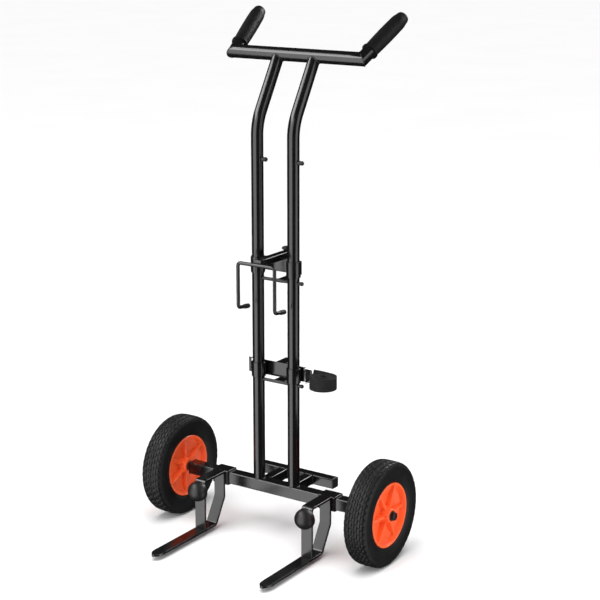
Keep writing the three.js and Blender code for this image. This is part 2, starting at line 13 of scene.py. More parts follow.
import bpy
import numpy as np
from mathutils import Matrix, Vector


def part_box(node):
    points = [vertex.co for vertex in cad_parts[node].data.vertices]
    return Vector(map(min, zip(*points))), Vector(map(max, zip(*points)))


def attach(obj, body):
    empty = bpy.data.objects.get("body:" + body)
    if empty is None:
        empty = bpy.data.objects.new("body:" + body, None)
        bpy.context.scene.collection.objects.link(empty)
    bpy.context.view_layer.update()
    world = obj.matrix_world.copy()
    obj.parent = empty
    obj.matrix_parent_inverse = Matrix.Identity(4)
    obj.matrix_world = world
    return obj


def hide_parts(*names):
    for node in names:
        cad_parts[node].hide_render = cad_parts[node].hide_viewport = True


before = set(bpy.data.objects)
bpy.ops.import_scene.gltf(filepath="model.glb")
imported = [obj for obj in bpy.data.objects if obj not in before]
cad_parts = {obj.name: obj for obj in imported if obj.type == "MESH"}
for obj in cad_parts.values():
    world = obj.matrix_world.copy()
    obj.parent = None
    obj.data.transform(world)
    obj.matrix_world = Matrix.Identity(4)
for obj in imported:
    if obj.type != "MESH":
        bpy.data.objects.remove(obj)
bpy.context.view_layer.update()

log = logging.getLogger("drum_dolly")
Array = np.ndarray

MM = 0.001
AXLE_Y = float(sum(corner[1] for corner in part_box("axle")) / 2)
WHEEL_HEIGHT = 125.0
WHEEL_OFFSET = 292.5
BEAM_TOP = 140.0
TUBE_RADIUS = 14.3
UPRIGHT_OFFSET = 50.0
HANDLE_POINT = (90.0, 1155.0)
HANDLE_RADIUS = 15.9
HANDLE_CORNER = 175.0
GRIP_WAY = (0.149, 0.84, 0.52)
LOWER_PIN, UPPER_PIN, STUD_HEIGHT = 393.4, 641.6, 923.0
FORK_OFFSET = 154.7
PLATE_Y, PLATE_HALF = 18.8, 1.5
CREASE = math.radians(38)
DUST_COLOUR = (0.32, 0.3, 0.27)

X_AXIS, Y_AXIS, Z_AXIS = np.eye(3)


class Side(Enum):
    """The two sides of the dolly, and the sign of X on each."""

    LEFT = -1
    RIGHT = 1

    @property
    def word(self) -> str:
        """The side's name in the frame's node names."""
        return self.name.lower()


# ---- surfaces


@dataclass
class Surface:
    """A patch of mesh in millimetres.

    Args:
        points: Vertices, one row each.
        faces: Lists of vertex indices.
        edge: How much each vertex lies on a worn edge, 0 to 1.
        uv: Place of each vertex on the unrolled surface, in millimetres.
    """

    points: Array
    faces: list[list[int]]
    edge: Array
    uv: Array

    def moved(self, x: float = 0.0, y: float = 0.0, z: float = 0.0) -> "Surface":
        """Shifts the patch."""
        return Surface(self.points + np.array([x, y, z]), self.faces, self.edge, self.uv)

    def mirrored(self) -> "Surface":
        """Mirrors the patch in the plane X = 0, keeping its faces outward."""
        return Surface(self.points * np.array([-1, 1, 1]), self.faces, self.edge, self.uv).flipped()

    def flipped(self) -> "Surface":
        """Turns the faces over."""
        return Surface(self.points, [face[::-1] for face in self.faces], self.edge, self.uv)

    def on(self, side: Side) -> "Surface":
        """The patch made for the right, or its mirror image on the left."""
        return self if side is Side.RIGHT else self.mirrored()


def grid_faces(rows: int, columns: int, close_rows: bool, close_columns: bool) -> list[list[int]]:
    """Quads over a grid of vertices.

    Args:
        rows: Number of rows.
        columns: Number of columns.
        close_rows: Whether the last row joins the first.
        close_columns: Whether the last column joins the first.

    Returns:
        The quads as lists of indices.
    """
    index = np.arange(rows * columns).reshape(rows, columns)
    below = np.roll(index, -1, axis=0)
    along = np.roll(index, -1, axis=1)
    both = np.roll(below, -1, axis=1)
    quads = np.stack([index, along, both, below], axis=-1)
    quads = quads[: rows if close_rows else rows - 1, : columns if close_columns else columns - 1]
    return quads.reshape(-1, 4).tolist()


def full_turn(count: int) -> Array:
    """Evenly spaced angles round a circle."""
    return np.linspace(0, 2 * np.pi, count, endpoint=False)


def distances(points: Array) -> Array:
    """How far each point is from the first, along the line through them all."""
    return np.concatenate([[0], np.cumsum(np.linalg.norm(np.diff(points, axis=0), axis=1))])


def unit(rows: Array) -> Array:
    """Scales vectors to a length of 1."""
    return rows / np.linalg.norm(rows, axis=-1, keepdims=True)


def loft(rings: Array, edge: Array | None = None, closed: bool = False) -> Surface:
    """A surface through a row of closed rings, capped at both ends unless it closes on itself.

    Args:
        rings: Rings of points, (rings, points, 3).
        edge: Edge wear of each point, or None for none.
        closed: Whether the last ring joins the first.

    Returns:
        The surface, with its faces outward when the rings run anticlockwise about their path.
    """
    count, around = rings.shape[:2]
    faces = grid_faces(count, around, closed, True)
    if not closed:
        faces.append(list(range(around))[::-1])
        faces.append(list(range((count - 1) * around, count * around)))
    uv = np.stack(np.meshgrid(distances(rings[0]), distances(rings.mean(1))), axis=-1).reshape(-1, 2)
    wear = np.zeros((count, around)) if edge is None else edge
    return Surface(rings.reshape(-1, 3), faces, wear.reshape(-1), uv)


@dataclass(frozen=True)
class RoundSection:
    """A round section.

    Args:
        radius: Its radius.
        count: Points around it.
    """

    radius: float
    count: int = 48

    def outline(self, inset: float, widen: float = 1.0) -> Array:
        """Points around the section."""
        turn = full_turn(self.count)
        return (self.radius * widen - inset) * np.stack([np.cos(turn), np.sin(turn)], axis=1)

    def wear(self) -> Array:
        """Edge wear around the section."""
        return np.zeros(self.count)


@dataclass(frozen=True)
class BarSection:
    """A rectangular section with round corners.

    Args:
        half_width: Half its size along the path's side direction.
        half_height: Half its size across that.
        corner: Corner radius.
        steps: Points on each corner.
    """

    half_width: float
    half_height: float
    corner: float = 1.0
    steps: int = 5

    def outline(self, inset: float, widen: float = 1.0) -> Array:
        """Points around the section.

        Args:
            inset: How far inside the true outline.
            widen: Factor on the width.

        Returns:
            Points, anticlockwise, with one on each flat just past every corner.
        """
        radius = max(self.corner - inset, 0.02)
        wide = max(self.half_width * widen - inset, 0.05)
        high = self.half_height - inset
        radius = min(radius, wide * 0.98)
        arc = np.linspace(0, np.pi / 2, self.steps)
        flat = min(0.8, 0.2 * wide, 0.2 * high)
        points = []
        for k, (sx, sy) in enumerate([(1, 1), (-1, 1), (-1, -1), (1, -1)]):
            turn = arc + k * np.pi / 2
            centre = np.array([sx * (wide - radius), sy * (high - radius)])
            bend = centre + radius * np.stack([np.cos(turn), np.sin(turn)], axis=1)
            way_in = np.array([-math.sin(turn[0]), math.cos(turn[0])])
            way_out = np.array([-math.sin(turn[-1]), math.cos(turn[-1])])
            points += [bend[:1] - flat * way_in, bend, bend[-1:] + flat * way_out]
        return np.concatenate(points)

    def wear(self) -> Array:
        """Edge wear around the section."""
        return np.tile(np.concatenate([[0], np.ones(self.steps), [0]]), 4)


@dataclass
class Route:
    """A path of straight runs joined by arcs.

    Args:
        corners: Its corner points.
        radius: Bend radius at every corner between the ends.
        steps: Points on each bend.
    """

    corners: Sequence[Sequence[float]]
    radius: float = 10.0
    steps: int = 14
    points: Array = field(init=False)
    ways: Array = field(init=False)

    def __post_init__(self) -> None:
        """Works out the points and directions along the path."""
        corners = np.asarray(self.corners, dtype=float)
        runs = unit(np.diff(corners, axis=0))
        points, ways = [corners[:1]], [runs[:1]]
        for corner, into, out in zip(corners[1:-1], runs[:-1], runs[1:]):
            turn = math.acos(float(np.clip(into @ out, -1, 1)))
            if turn < 1e-6:
                points.append(corner[None])
                ways.append(into[None])
                continue
            inward = unit(out - into * (into @ out))
            start = corner - into * self.radius * math.tan(turn / 2)
            angle = np.linspace(0, turn, self.steps)[:, None]
            points.append(start + self.radius * (np.sin(angle) * into + (1 - np.cos(angle)) * inward))
            ways.append(np.cos(angle) * into + np.sin(angle) * inward)
        self.points = np.concatenate([*points, corners[-1:]])
        self.ways = np.concatenate([*ways, runs[-1:]])

    def refined(self, spacing: float) -> "Route":
        """Adds points so that none are further apart than a spacing.

        Args:
            spacing: The largest gap left between points.

        Returns:
            This route, with more points on its straight runs.
        """
        points, ways = [self.points[:1]], [self.ways[:1]]
        for a, b, wa, wb in zip(self.points[:-1], self.points[1:], self.ways[:-1], self.ways[1:]):
            count = max(1, int(np.linalg.norm(b - a) / spacing))
            share = np.linspace(0, 1, count + 1)[1:, None]
            points.append(a + (b - a) * share)
            ways.append(wa + (wb - wa) * share)
        self.points = np.concatenate(points)
        self.ways = unit(np.concatenate(ways))
        return self


def sweep(
    route: Route,
    section: RoundSection | BarSection,
    side: Array,
    rounding: float = 0.6,
    widen: Callable[[Array], Array] | None = None,
) -> Surface:
    """Carries a section along a route, with softened ends.

    Args:
        route: The path.
        section: The section.
        side: Direction of the section's width at the start; it is carried along without twist.
        rounding: Radius of the edge at each end.
        widen: Factor on the width for a distance left to the route's end, or None.

    Returns:
        The swept surface.
    """
    turn = np.linspace(0, np.pi / 2, 5)
    insets, steps = rounding * (1 - np.sin(turn)), rounding * (1 - np.cos(turn))
    first, last = route.ways[0], route.ways[-1]
    points = np.concatenate([
        route.points[0] + steps[:, None] * first, route.points[1:-1],
        (route.points[-1] - steps[:, None] * last)[::-1],
    ])
    ways = np.concatenate([np.tile(first, (5, 1)), route.ways[1:-1], np.tile(last, (5, 1))])
    inner = np.concatenate([insets, np.zeros(len(route.points) - 2), insets[::-1]])
    run = distances(points)
    factor = np.ones(len(points)) if widen is None else widen(run[-1] - run)
    rings, wear = [], []
    for point, way, inset, wide in zip(points, ways, inner, factor):
        side = unit(side - way * (side @ way))
        flat = section.outline(inset, wide)
        rings.append(point + flat[:, :1] * side + flat[:, 1:] * np.cross(way, side))
        wear.append(np.maximum(section.wear(), 1.0 if inset > 0 else 0.0))
    return loft(np.array(rings), np.array(wear))


def spin(profile: Sequence[Sequence[float]], axis: Array, centre: Sequence[float], count: int = 64,
         smooth: int = 2) -> Surface:
    """Turns a closed or axis-to-axis profile about an axis, after softening its corners.

    Args:
        profile: [radius, distance along the axis] pairs, in order.
        axis: The axis direction.
        centre: Where distance 0 lies.
        count: Points around.
        smooth: How many times each corner is cut to soften it.

    Returns:
        The turned surface, faces outward.
    """
    outline = np.asarray(profile, dtype=float)
    closed = bool(np.allclose(outline[0], outline[-1]))
    outline = soften(outline[:-1] if closed else outline, closed, smooth)
    axis = unit(np.asarray(axis, dtype=float))
    across = unit(np.cross(axis, X_AXIS if abs(axis[0]) < 0.9 else Y_AXIS))
    other = np.cross(axis, across)
    turn = full_turn(count)
    ring = np.cos(turn)[:, None] * across + np.sin(turn)[:, None] * other
    radius = np.maximum(outline[:, :1, None], 1e-3)
    rings = np.asarray(centre) + radius * ring[None] + outline[:, 1:, None] * axis
    surface = loft(rings, closed=closed)
    ahead = np.roll(outline, -1, axis=0)
    clockwise = (ahead[:, 0] * outline[:, 1] - ahead[:, 1] * outline[:, 0]).sum() > 0
    inside_out = clockwise if closed else outline[-1, 1] < outline[0, 1]
    return surface.flipped() if inside_out else surface


def soften(outline: Array, closed: bool, times: int, cut: float = 0.7) -> Array:
    """Rounds the corners of an outline by a short, fixed cut.

    Args:
        outline: Points, one row each.
        closed: Whether the last joins the first.
        times: Number of passes; each replaces a corner by two points nearer to it.
        cut: Longest piece cut from each side of a corner, halved on every pass.

    Returns:
        The softened outline.
    """
    for _ in range(times):
        before = np.roll(outline, 1, axis=0) - outline
        after = np.roll(outline, -1, axis=0) - outline
        gap_before = np.linalg.norm(before, axis=1, keepdims=True)
        gap_after = np.linalg.norm(after, axis=1, keepdims=True)
        first = outline + before * np.minimum(0.25, cut / gap_before)
        second = outline + after * np.minimum(0.25, cut / gap_after)
        if not closed:
            first[[0, -1]] = outline[[0, -1]]
            second[[0, -1]] = outline[[0, -1]]
        outline = np.stack([first, second], axis=1).reshape(-1, outline.shape[1])
        cut /= 2
    return outline


def step_up(value: Array, low: float, high: float) -> Array:
    """A smooth step from 0 to 1."""
    t = np.clip((value - low) / (high - low), 0, 1)
    return t * t * (3 - 2 * t)


# ---- shader groups


class Group:
    """A node group that shares one surface effect between materials.

    Args:
        name: The group's name.
        inputs: Value inputs and their defaults.
        outputs: Output names and socket types.
    """

    def __init__(self, name: str, inputs: dict[str, float], outputs: dict[str, str]) -> None:
        """Makes the empty group with its sockets."""
        self.tree = bpy.data.node_groups.new(name, "ShaderNodeTree")
        for label, value in inputs.items():
            socket = self.tree.interface.new_socket(label, in_out="INPUT", socket_type="NodeSocketFloat")
            socket.default_value = value
        for label, kind in outputs.items():
            self.tree.interface.new_socket(label, in_out="OUTPUT", socket_type=kind)
        self.given = self.tree.nodes.new("NodeGroupInput").outputs
        self.wanted = self.tree.nodes.new("NodeGroupOutput").inputs

    def node(self, kind: str, links: dict | None = None, **settings) -> bpy.types.Node:
        """Adds a node."""
        return add_node(self.tree, kind, links, **settings)

    def math(self, operation: str, *values: bpy.types.NodeSocket | float) -> bpy.types.NodeSocket:
        """Adds a maths node."""
        return self.node("ShaderNodeMath", dict(enumerate(values)), operation=operation).outputs[0]

    def give(self, label: str, socket: bpy.types.NodeSocket) -> None:
        """Links a socket to one of the group's outputs."""
        self.tree.links.new(socket, self.wanted[label])


def add_node(tree: bpy.types.NodeTree, kind: str, links: dict | None = None, **settings) -> bpy.types.Node:
    """Adds a node to a tree, then sets and links it.

    Args:
        tree: The tree.
        kind: The node's Blender type.
        links: Input name or index to a socket to link or a value to set.
        settings: Attributes to set on it.

    Returns:
        The node.
    """
    node = tree.nodes.new(kind)
    for name, value in settings.items():
        setattr(node, name, value)
    for key, value in (links or {}).items():
        if isinstance(value, bpy.types.NodeSocket):
            tree.links.new(value, node.inputs[key])
        else:
            node.inputs[key].default_value = value
    return node


def grain_group() -> Group:
    """Fine pitting of a coated or moulded surface, from two sizes of noise in object space.

    Returns:
        The group, with a normal, and a value about 0.5 that varies slowly.
    """
    group = Group("surface_grain", {"Scale": 900.0, "Depth": 0.1},
                  {"Normal": "NodeSocketVector", "Value": "NodeSocketFloat"})
    where = group.node("ShaderNodeTexCoord").outputs["Object"]
    fine = group.node("ShaderNodeTexNoise", {"Vector": where, "Scale": group.given["Scale"], "Detail": 2.0})
    bump = group.node("ShaderNodeBump", {"Height": fine.outputs[0], "Strength": group.given["Depth"],
                                         "Distance": 0.0005})
    slow = group.node("ShaderNodeTexNoise", {"Vector": where, "Scale": 38.0, "Detail": 4.0})
    group.give("Normal", bump.outputs[0])
    group.give("Value", slow.outputs[0])
    return group


def wear_group() -> Group:
    """Rubbed edges: the edge attribute of each piece, broken up by noise.

    Returns:
        The group, with a mask.
    """
    group = Group("edge_wear", {"Amount": 0.5}, {"Mask": "NodeSocketFloat"})
    where = group.node("ShaderNodeTexCoord").outputs["Object"]
    edge = group.node("ShaderNodeAttribute", attribute_name="edge").outputs["Fac"]
    noise = group.node("ShaderNodeTexNoise", {"Vector": where, "Scale": 140.0, "Detail": 5.0})
    broken = group.node("ShaderNodeMapRange", {0: noise.outputs[0], 1: 0.42, 2: 0.66, 3: 0.25, 4: 1.0})
    both = group.math("MULTIPLY", edge, broken.outputs[0])
    group.give("Mask", group.math("MULTIPLY", both, group.given["Amount"]))
    return group


def dust_group() -> Group:
    """A thin settling of dust on faces that look up.

    Returns:
        The group, with a mask.
    """
    group = Group("dust", {"Amount": 0.2}, {"Mask": "NodeSocketFloat"})
    normal = group.node("ShaderNodeNewGeometry").outputs["Normal"]
    up = group.node("ShaderNodeSeparateXYZ", {0: normal}).outputs["Z"]
    lift = group.node("ShaderNodeMapRange", {0: up, 1: 0.2, 2: 1.0, 3: 0.0, 4: 1.0})
    where = group.node("ShaderNodeTexCoord").outputs["Object"]
    noise = group.node("ShaderNodeTexNoise", {"Vector": where, "Scale": 22.0, "Detail": 6.0})
    both = group.math("MULTIPLY", lift.outputs[0], noise.outputs[0])
    group.give("Mask", group.math("MULTIPLY", both, group.given["Amount"]))
    return group


def weave_group() -> Group:
    """Woven tape: twill ribs across the width and picks along the length, from the unrolled surface.

    Returns:
        The group, with a normal and a mask of the raised threads, which the finish uses to paint a highlight
        on them.
    """
    group = Group("weave", {"Pitch": 1.4}, {"Normal": "NodeSocketVector", "Mask": "NodeSocketFloat"})
    unrolled = group.node("ShaderNodeUVMap", uv_map="unrolled").outputs[0]
    parts = group.node("ShaderNodeSeparateXYZ", {0: unrolled})
    turn = group.math("DIVIDE", 2 * math.pi, group.given["Pitch"])
    skew = group.math("ADD", parts.outputs[0], parts.outputs[1])
    ripples = [group.math("SINE", group.math("MULTIPLY", value, turn)) for value in (skew, parts.outputs[0])]
    both = group.math("ADD", *ripples)
    height = group.node("ShaderNodeMapRange", {0: both, 1: -2.0, 2: 2.0, 3: 0.0, 4: 1.0}).outputs[0]
    bump = group.node("ShaderNodeBump", {"Height": height, "Strength": 0.8, "Distance": 0.0004})
    group.give("Normal", bump.outputs[0])
    group.give("Mask", height)
    return group


@dataclass(frozen=True)
class Finish:
    """A procedural finish.

    Args:
        name: The material's name.
        slot: The record's slot that it stands for; not used.
        colour: Base colour, linear.
        rough: Roughness on the flats.
        metal: Metalness.
        grain: Depth of the surface pitting.
        grain_scale: How fine that pitting is.
        wear: How much the edges are rubbed.
        worn_colour: Colour of rubbed edges.
        dust: How much dust lies on faces that look up.
        mottle: How much the colour varies.
        coat: Clear coat over it.
        shine: Strength of the reflections of a material that is not metal.
        weave: Whether it is a woven tape, with a painted highlight on its raised threads.
    """

    name: str
    slot: str
    colour: tuple[float, float, float]
    rough: float
    metal: float = 0.0
    grain: float = 0.08
    grain_scale: float = 900.0
    wear: float = 0.0
    worn_colour: tuple[float, float, float] = (0.2, 0.2, 0.2)
    dust: float = 0.0
    mottle: float = 0.1
    coat: float = 0.0
    shine: float = 0.5
    weave: bool = False

    def material(self, groups: dict[str, Group]) -> bpy.types.Material:
        """Builds the material.

        Args:
            groups: The shared effects by name.

        Returns:
            The material.
        """
        material = bpy.data.materials.new(self.name)
        material.use_nodes = True
        tree = material.node_tree
        shader = tree.nodes["Principled BSDF"]

        grain = add_node(tree, "ShaderNodeGroup", {"Scale": self.grain_scale, "Depth": self.grain},
                         node_tree=groups["grain"].tree)
        dark = tuple(c * (1 - self.mottle) for c in self.colour)
        light = tuple(c * (1 + self.mottle) for c in self.colour)
        colour = self.mix(tree, grain.outputs["Value"], dark, light)
        for name, amount, tint in (("wear", self.wear, self.worn_colour), ("dust", self.dust, DUST_COLOUR)):
            if amount:
                laid = add_node(tree, "ShaderNodeGroup", {"Amount": amount}, node_tree=groups[name].tree)
                colour = self.mix(tree, laid.outputs["Mask"], colour, tint)
        if self.weave:
            weave = add_node(tree, "ShaderNodeGroup", {"Pitch": 1.5}, node_tree=groups["weave"].tree)
            # Painted highlight: the raised threads are lightened towards 2.2 times the tape's colour, where
            # light would catch them.
            threads = add_node(tree, "ShaderNodeMapRange", {0: weave.outputs["Mask"], 3: 0.0, 4: 0.6})
            colour = self.mix(tree, threads.outputs[0], colour, tuple(2.2 * c for c in self.colour))
            tree.links.new(weave.outputs["Normal"], shader.inputs["Normal"])
        else:
            tree.links.new(grain.outputs["Normal"], shader.inputs["Normal"])
        rough = add_node(tree, "ShaderNodeMapRange", {0: grain.outputs["Value"], 1: 0.3, 2: 0.7,
                                                      3: self.rough * 0.88, 4: self.rough * 1.12})
        tree.links.new(rough.outputs[0], shader.inputs["Roughness"])
        tree.links.new(colour, shader.inputs["Base Color"])
        shader.inputs["Metallic"].default_value = self.metal
        shader.inputs["Specular IOR Level"].default_value = self.shine
        shader.inputs["Coat Weight"].default_value = self.coat
        shader.inputs["Coat Roughness"].default_value = 0.12
        return material

    @staticmethod
    def mix(tree: bpy.types.NodeTree, mask: bpy.types.NodeSocket, low, high) -> bpy.types.NodeSocket:
        """Mixes two colours.

        Args:
            tree: The material's tree.
            mask: 0 gives low and 1 gives high.
            low: A colour or a socket.
            high: A colour or a socket.

        Returns:
            The mixed colour.
        """
        node = add_node(tree, "ShaderNodeMix", {0: mask}, data_type="RGBA")
        for key, value in ((6, low), (7, high)):
            if isinstance(value, bpy.types.NodeSocket):
                tree.links.new(value, node.inputs[key])
            else:
                node.inputs[key].default_value = (*value, 1.0)
        return node.outputs[2]


POWDER = Finish("black_powder_coat", "powder_coat", (0.0035, 0.0035, 0.0038), 0.18, grain=0.06,
                grain_scale=1400, wear=0.3, worn_colour=(0.06, 0.06, 0.06), dust=0.01, mottle=0.25)
ZINC = Finish("dark_zinc", "zinc_steel", (0.06, 0.06, 0.062), 0.4, metal=1.0, wear=0.3, mottle=0.25)
# Painted reflection: metalness 0.75 leaves a quarter of the chrome as a pale diffuse grey, standing in for
# the bright surroundings that real chrome would mirror.
CHROME = Finish("bright_chrome", "chrome", (0.85, 0.85, 0.86), 0.22, metal=0.75, grain=0.01, mottle=0.03)
ORANGE = Finish("orange_moulding", "orange_plastic", (0.86, 0.105, 0.02), 0.4, grain=0.05, mottle=0.05,
                dust=0.03)
TYRE = Finish("tyre_rubber", "tyre", (0.004, 0.0041, 0.0043), 0.5, grain=0.2, grain_scale=700, dust=0.015,
              mottle=0.3, shine=0.28)
GRIP = Finish("grip_rubber", "grip_rubber", (0.004, 0.004, 0.004), 0.55, grain=0.3, grain_scale=1100,
              mottle=0.2, shine=0.2)
BUMPER = Finish("bumper_rubber", "bumper_rubber", (0.006, 0.006, 0.006), 0.42, grain=0.1, mottle=0.2,
                shine=0.4)
PLASTIC = Finish("black_moulding", "black_plastic", (0.005, 0.005, 0.005), 0.4, mottle=0.2, shine=0.4)
BLACKENED = Finish("blackened_steel", "zinc_steel", (0.02, 0.02, 0.021), 0.35, metal=0.5, mottle=0.2)
NYLON = Finish("dark_nylon", "nylon", (0.03, 0.03, 0.03), 0.5, grain=0.05)
WEBBING = Finish("woven_tape", "webbing", (0.004, 0.004, 0.0043), 0.7, weave=True, mottle=0.3, shine=0.25)


# ---- building pieces


class Workshop:
    """Makes the materials once, and turns surfaces into pieces that ride on the frame."""

    def __init__(self) -> None:
        """Builds the shared effects."""
        self.groups = {"grain": grain_group(), "wear": wear_group(), "dust": dust_group(),
                       "weave": weave_group()}
        self.materials: dict[str, bpy.types.Material] = {}

    def material(self, finish: Finish) -> bpy.types.Material:
        """The material of a finish, made on first use."""
        if finish.name not in self.materials:
            self.materials[finish.name] = finish.material(self.groups)
        return self.materials[finish.name]

    def piece(self, name: str, surfaces: Iterable[Surface], finish: Finish, body: str,
              nodes: Sequence[str] = ()) -> bpy.types.Object:
        """Joins surfaces into one piece, and lets it ride on a body.

        Args:
            name: The piece's name.
            surfaces: Its patches.
            finish: Its finish.
            body: The body it rides on.
            nodes: Frame nodes that it stands for.

        Returns:
            The new object.
        """
        patches = list(surfaces)
        points = np.concatenate([patch.points for patch in patches])
        starts = np.cumsum([0] + [len(patch.points) for patch in patches[:-1]])
        faces = [[int(start) + i for i in face] for patch, start in zip(patches, starts)
                 for face in patch.faces]
        mesh = bpy.data.meshes.new(name)
        mesh.from_pydata((points * MM + np.array([0, AXLE_Y, 0])).tolist(), [], faces)
        edge = mesh.attributes.new("edge", "FLOAT", "POINT")
        edge.data.foreach_set("value", np.concatenate([patch.edge for patch in patches]).astype(np.float32))
        corner = np.zeros(len(mesh.loops), dtype=np.int32)
        mesh.loops.foreach_get("vertex_index", corner)
        unrolled = np.concatenate([patch.uv for patch in patches])[corner]
        mesh.uv_layers.new(name="unrolled").uv.foreach_set("vector", unrolled.astype(np.float32).ravel())
        mesh.polygons.foreach_set("use_smooth", np.ones(len(mesh.polygons), dtype=bool))
        mesh.set_sharp_from_angle(angle=CREASE)
        mesh.materials.append(self.material(finish))
        obj = bpy.data.objects.new(name, mesh)
        bpy.context.scene.collection.objects.link(obj)
        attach(obj, body)
        if nodes:
            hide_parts(*nodes)
        log.info("%s: %d faces on %s", name, len(faces), body)
        return obj

    def dress(self, nodes: Sequence[str], finish: Finish) -> None:
        """Gives frame nodes a finish of their own.

        Args:
            nodes: The nodes.
            finish: The finish.
        """
        for name in nodes:
            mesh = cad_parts[name].data
            mesh.materials.clear()
            mesh.materials.append(self.material(finish))
            log.info("%s: frame node in %s", name, finish.name)


def bar_x(x0: float, x1: float, y: float, z: float, half_y: float, half_z: float, corner: float) -> Surface:
    """A straight bar along X."""
    route = Route([(x0, y, z), ((x0 + x1) / 2, y, z), (x1, y, z)], 1e-6, 2).refined(40)
    return sweep(route, BarSection(half_y, half_z, corner), Y_AXIS)


def bead(points: Array, radius: float) -> Surface:
    """A weld bead round a closed curve: its thickness ripples as the puddles overlap.

    Args:
        points: The closed curve.
        radius: Its mean radius.

    Returns:
        The bead.
    """
    count = len(points)
    ways = unit(np.roll(points, -1, axis=0) - np.roll(points, 1, axis=0))
    out = points - points.mean(0)
    out = unit(out - ways * (out * ways).sum(1, keepdims=True))
    across = np.cross(ways, out)
    turn = full_turn(12)
    ripple = radius * (1 + 0.12 * np.sin(np.arange(count) * 2 * np.pi / 5))[:, None, None]
    ring = np.cos(turn)[None, :, None] * out[:, None] + np.sin(turn)[None, :, None] * across[:, None]
    return loft(points[:, None] + ripple * ring, closed=True)


@dataclass
class RearFrame:
    """The square beam, the axle's fittings and the capped bar behind on its two arms."""

    half_length: float = 252.0
    half: float = 15.0
    rear_half: float = 12.5
    rear_bar_y: float = 96.7
    rear_z: float = 127.5
    arm_x: float = 37.2
    rear_half_length: float = 105.0

    def build(self, shop: Workshop) -> None:
        """Makes its pieces.

        Args:
            shop: Makes materials and pieces.
        """
        beam = bar_x(-self.half_length, self.half_length, 0, WHEEL_HEIGHT, self.half, self.half, 3.0)
        shop.piece("square_beam", [beam], POWDER, "frame", ["beam"])
        half, y, z = self.rear_half, self.rear_bar_y, self.rear_z
        ends = (self.half - 0.5, 50, y - 12.2)
        for side in Side:
            x = side.value * self.arm_x
            route = Route([(x, end, z) for end in ends], 1e-6, 2)
            arm = sweep(route, BarSection(half, half, 2.5), X_AXIS, 0.2)
            seams = [self.seam(x, self.half + 0.4), self.seam(x, 84.0)]
            shop.piece(f"{side.word}_rear_arm_tube", [arm, *seams], POWDER, "frame",
                       [f"{side.word}_rear_arm"])
            x0 = side.value * (self.rear_half_length + 0.2)
            x0, x1 = sorted((x0, x0 + 2.6 * side.value))
            shop.piece(f"{side.word}_bar_plug", [bar_x(x0, x1, y, z, half - 0.2, half - 0.2, 2.5)], PLASTIC,
                       "frame", [f"{side.word}_rear_bar_cap"])
        bar = bar_x(-self.rear_half_length, self.rear_half_length, y, z, half, half, 2.5)
        shop.piece("rear_cross_bar", [bar], POWDER, "frame", ["rear_bar"])
        shop.dress([f"{s.word}_beam_end_plate" for s in Side], POWDER)
        shop.dress(["axle", *[f"{s.word}_{part}" for part in ("wheel_spacer", "axle_washer") for s in Side]],
                   ZINC)

    def seam(self, x: float, y: float) -> Surface:
        """The weld round the end of a square arm.

        Args:
            x: The arm's middle.
            y: Where it meets the bar or beam.

        Returns:
            The bead.
        """
        flat = BarSection(self.rear_half + 0.1, self.rear_half + 0.1, 3.0, 8).outline(0)
        even = np.linspace(0, len(flat), 90, endpoint=False)
        flat = np.concatenate([flat, flat[:1]])
        ring = [np.interp(even, range(len(flat)), flat[:, i]) for i in (0, 1)]
        return bead(np.stack([x + ring[0], np.full(90, y), self.rear_z + ring[1]], axis=1), 1.3)


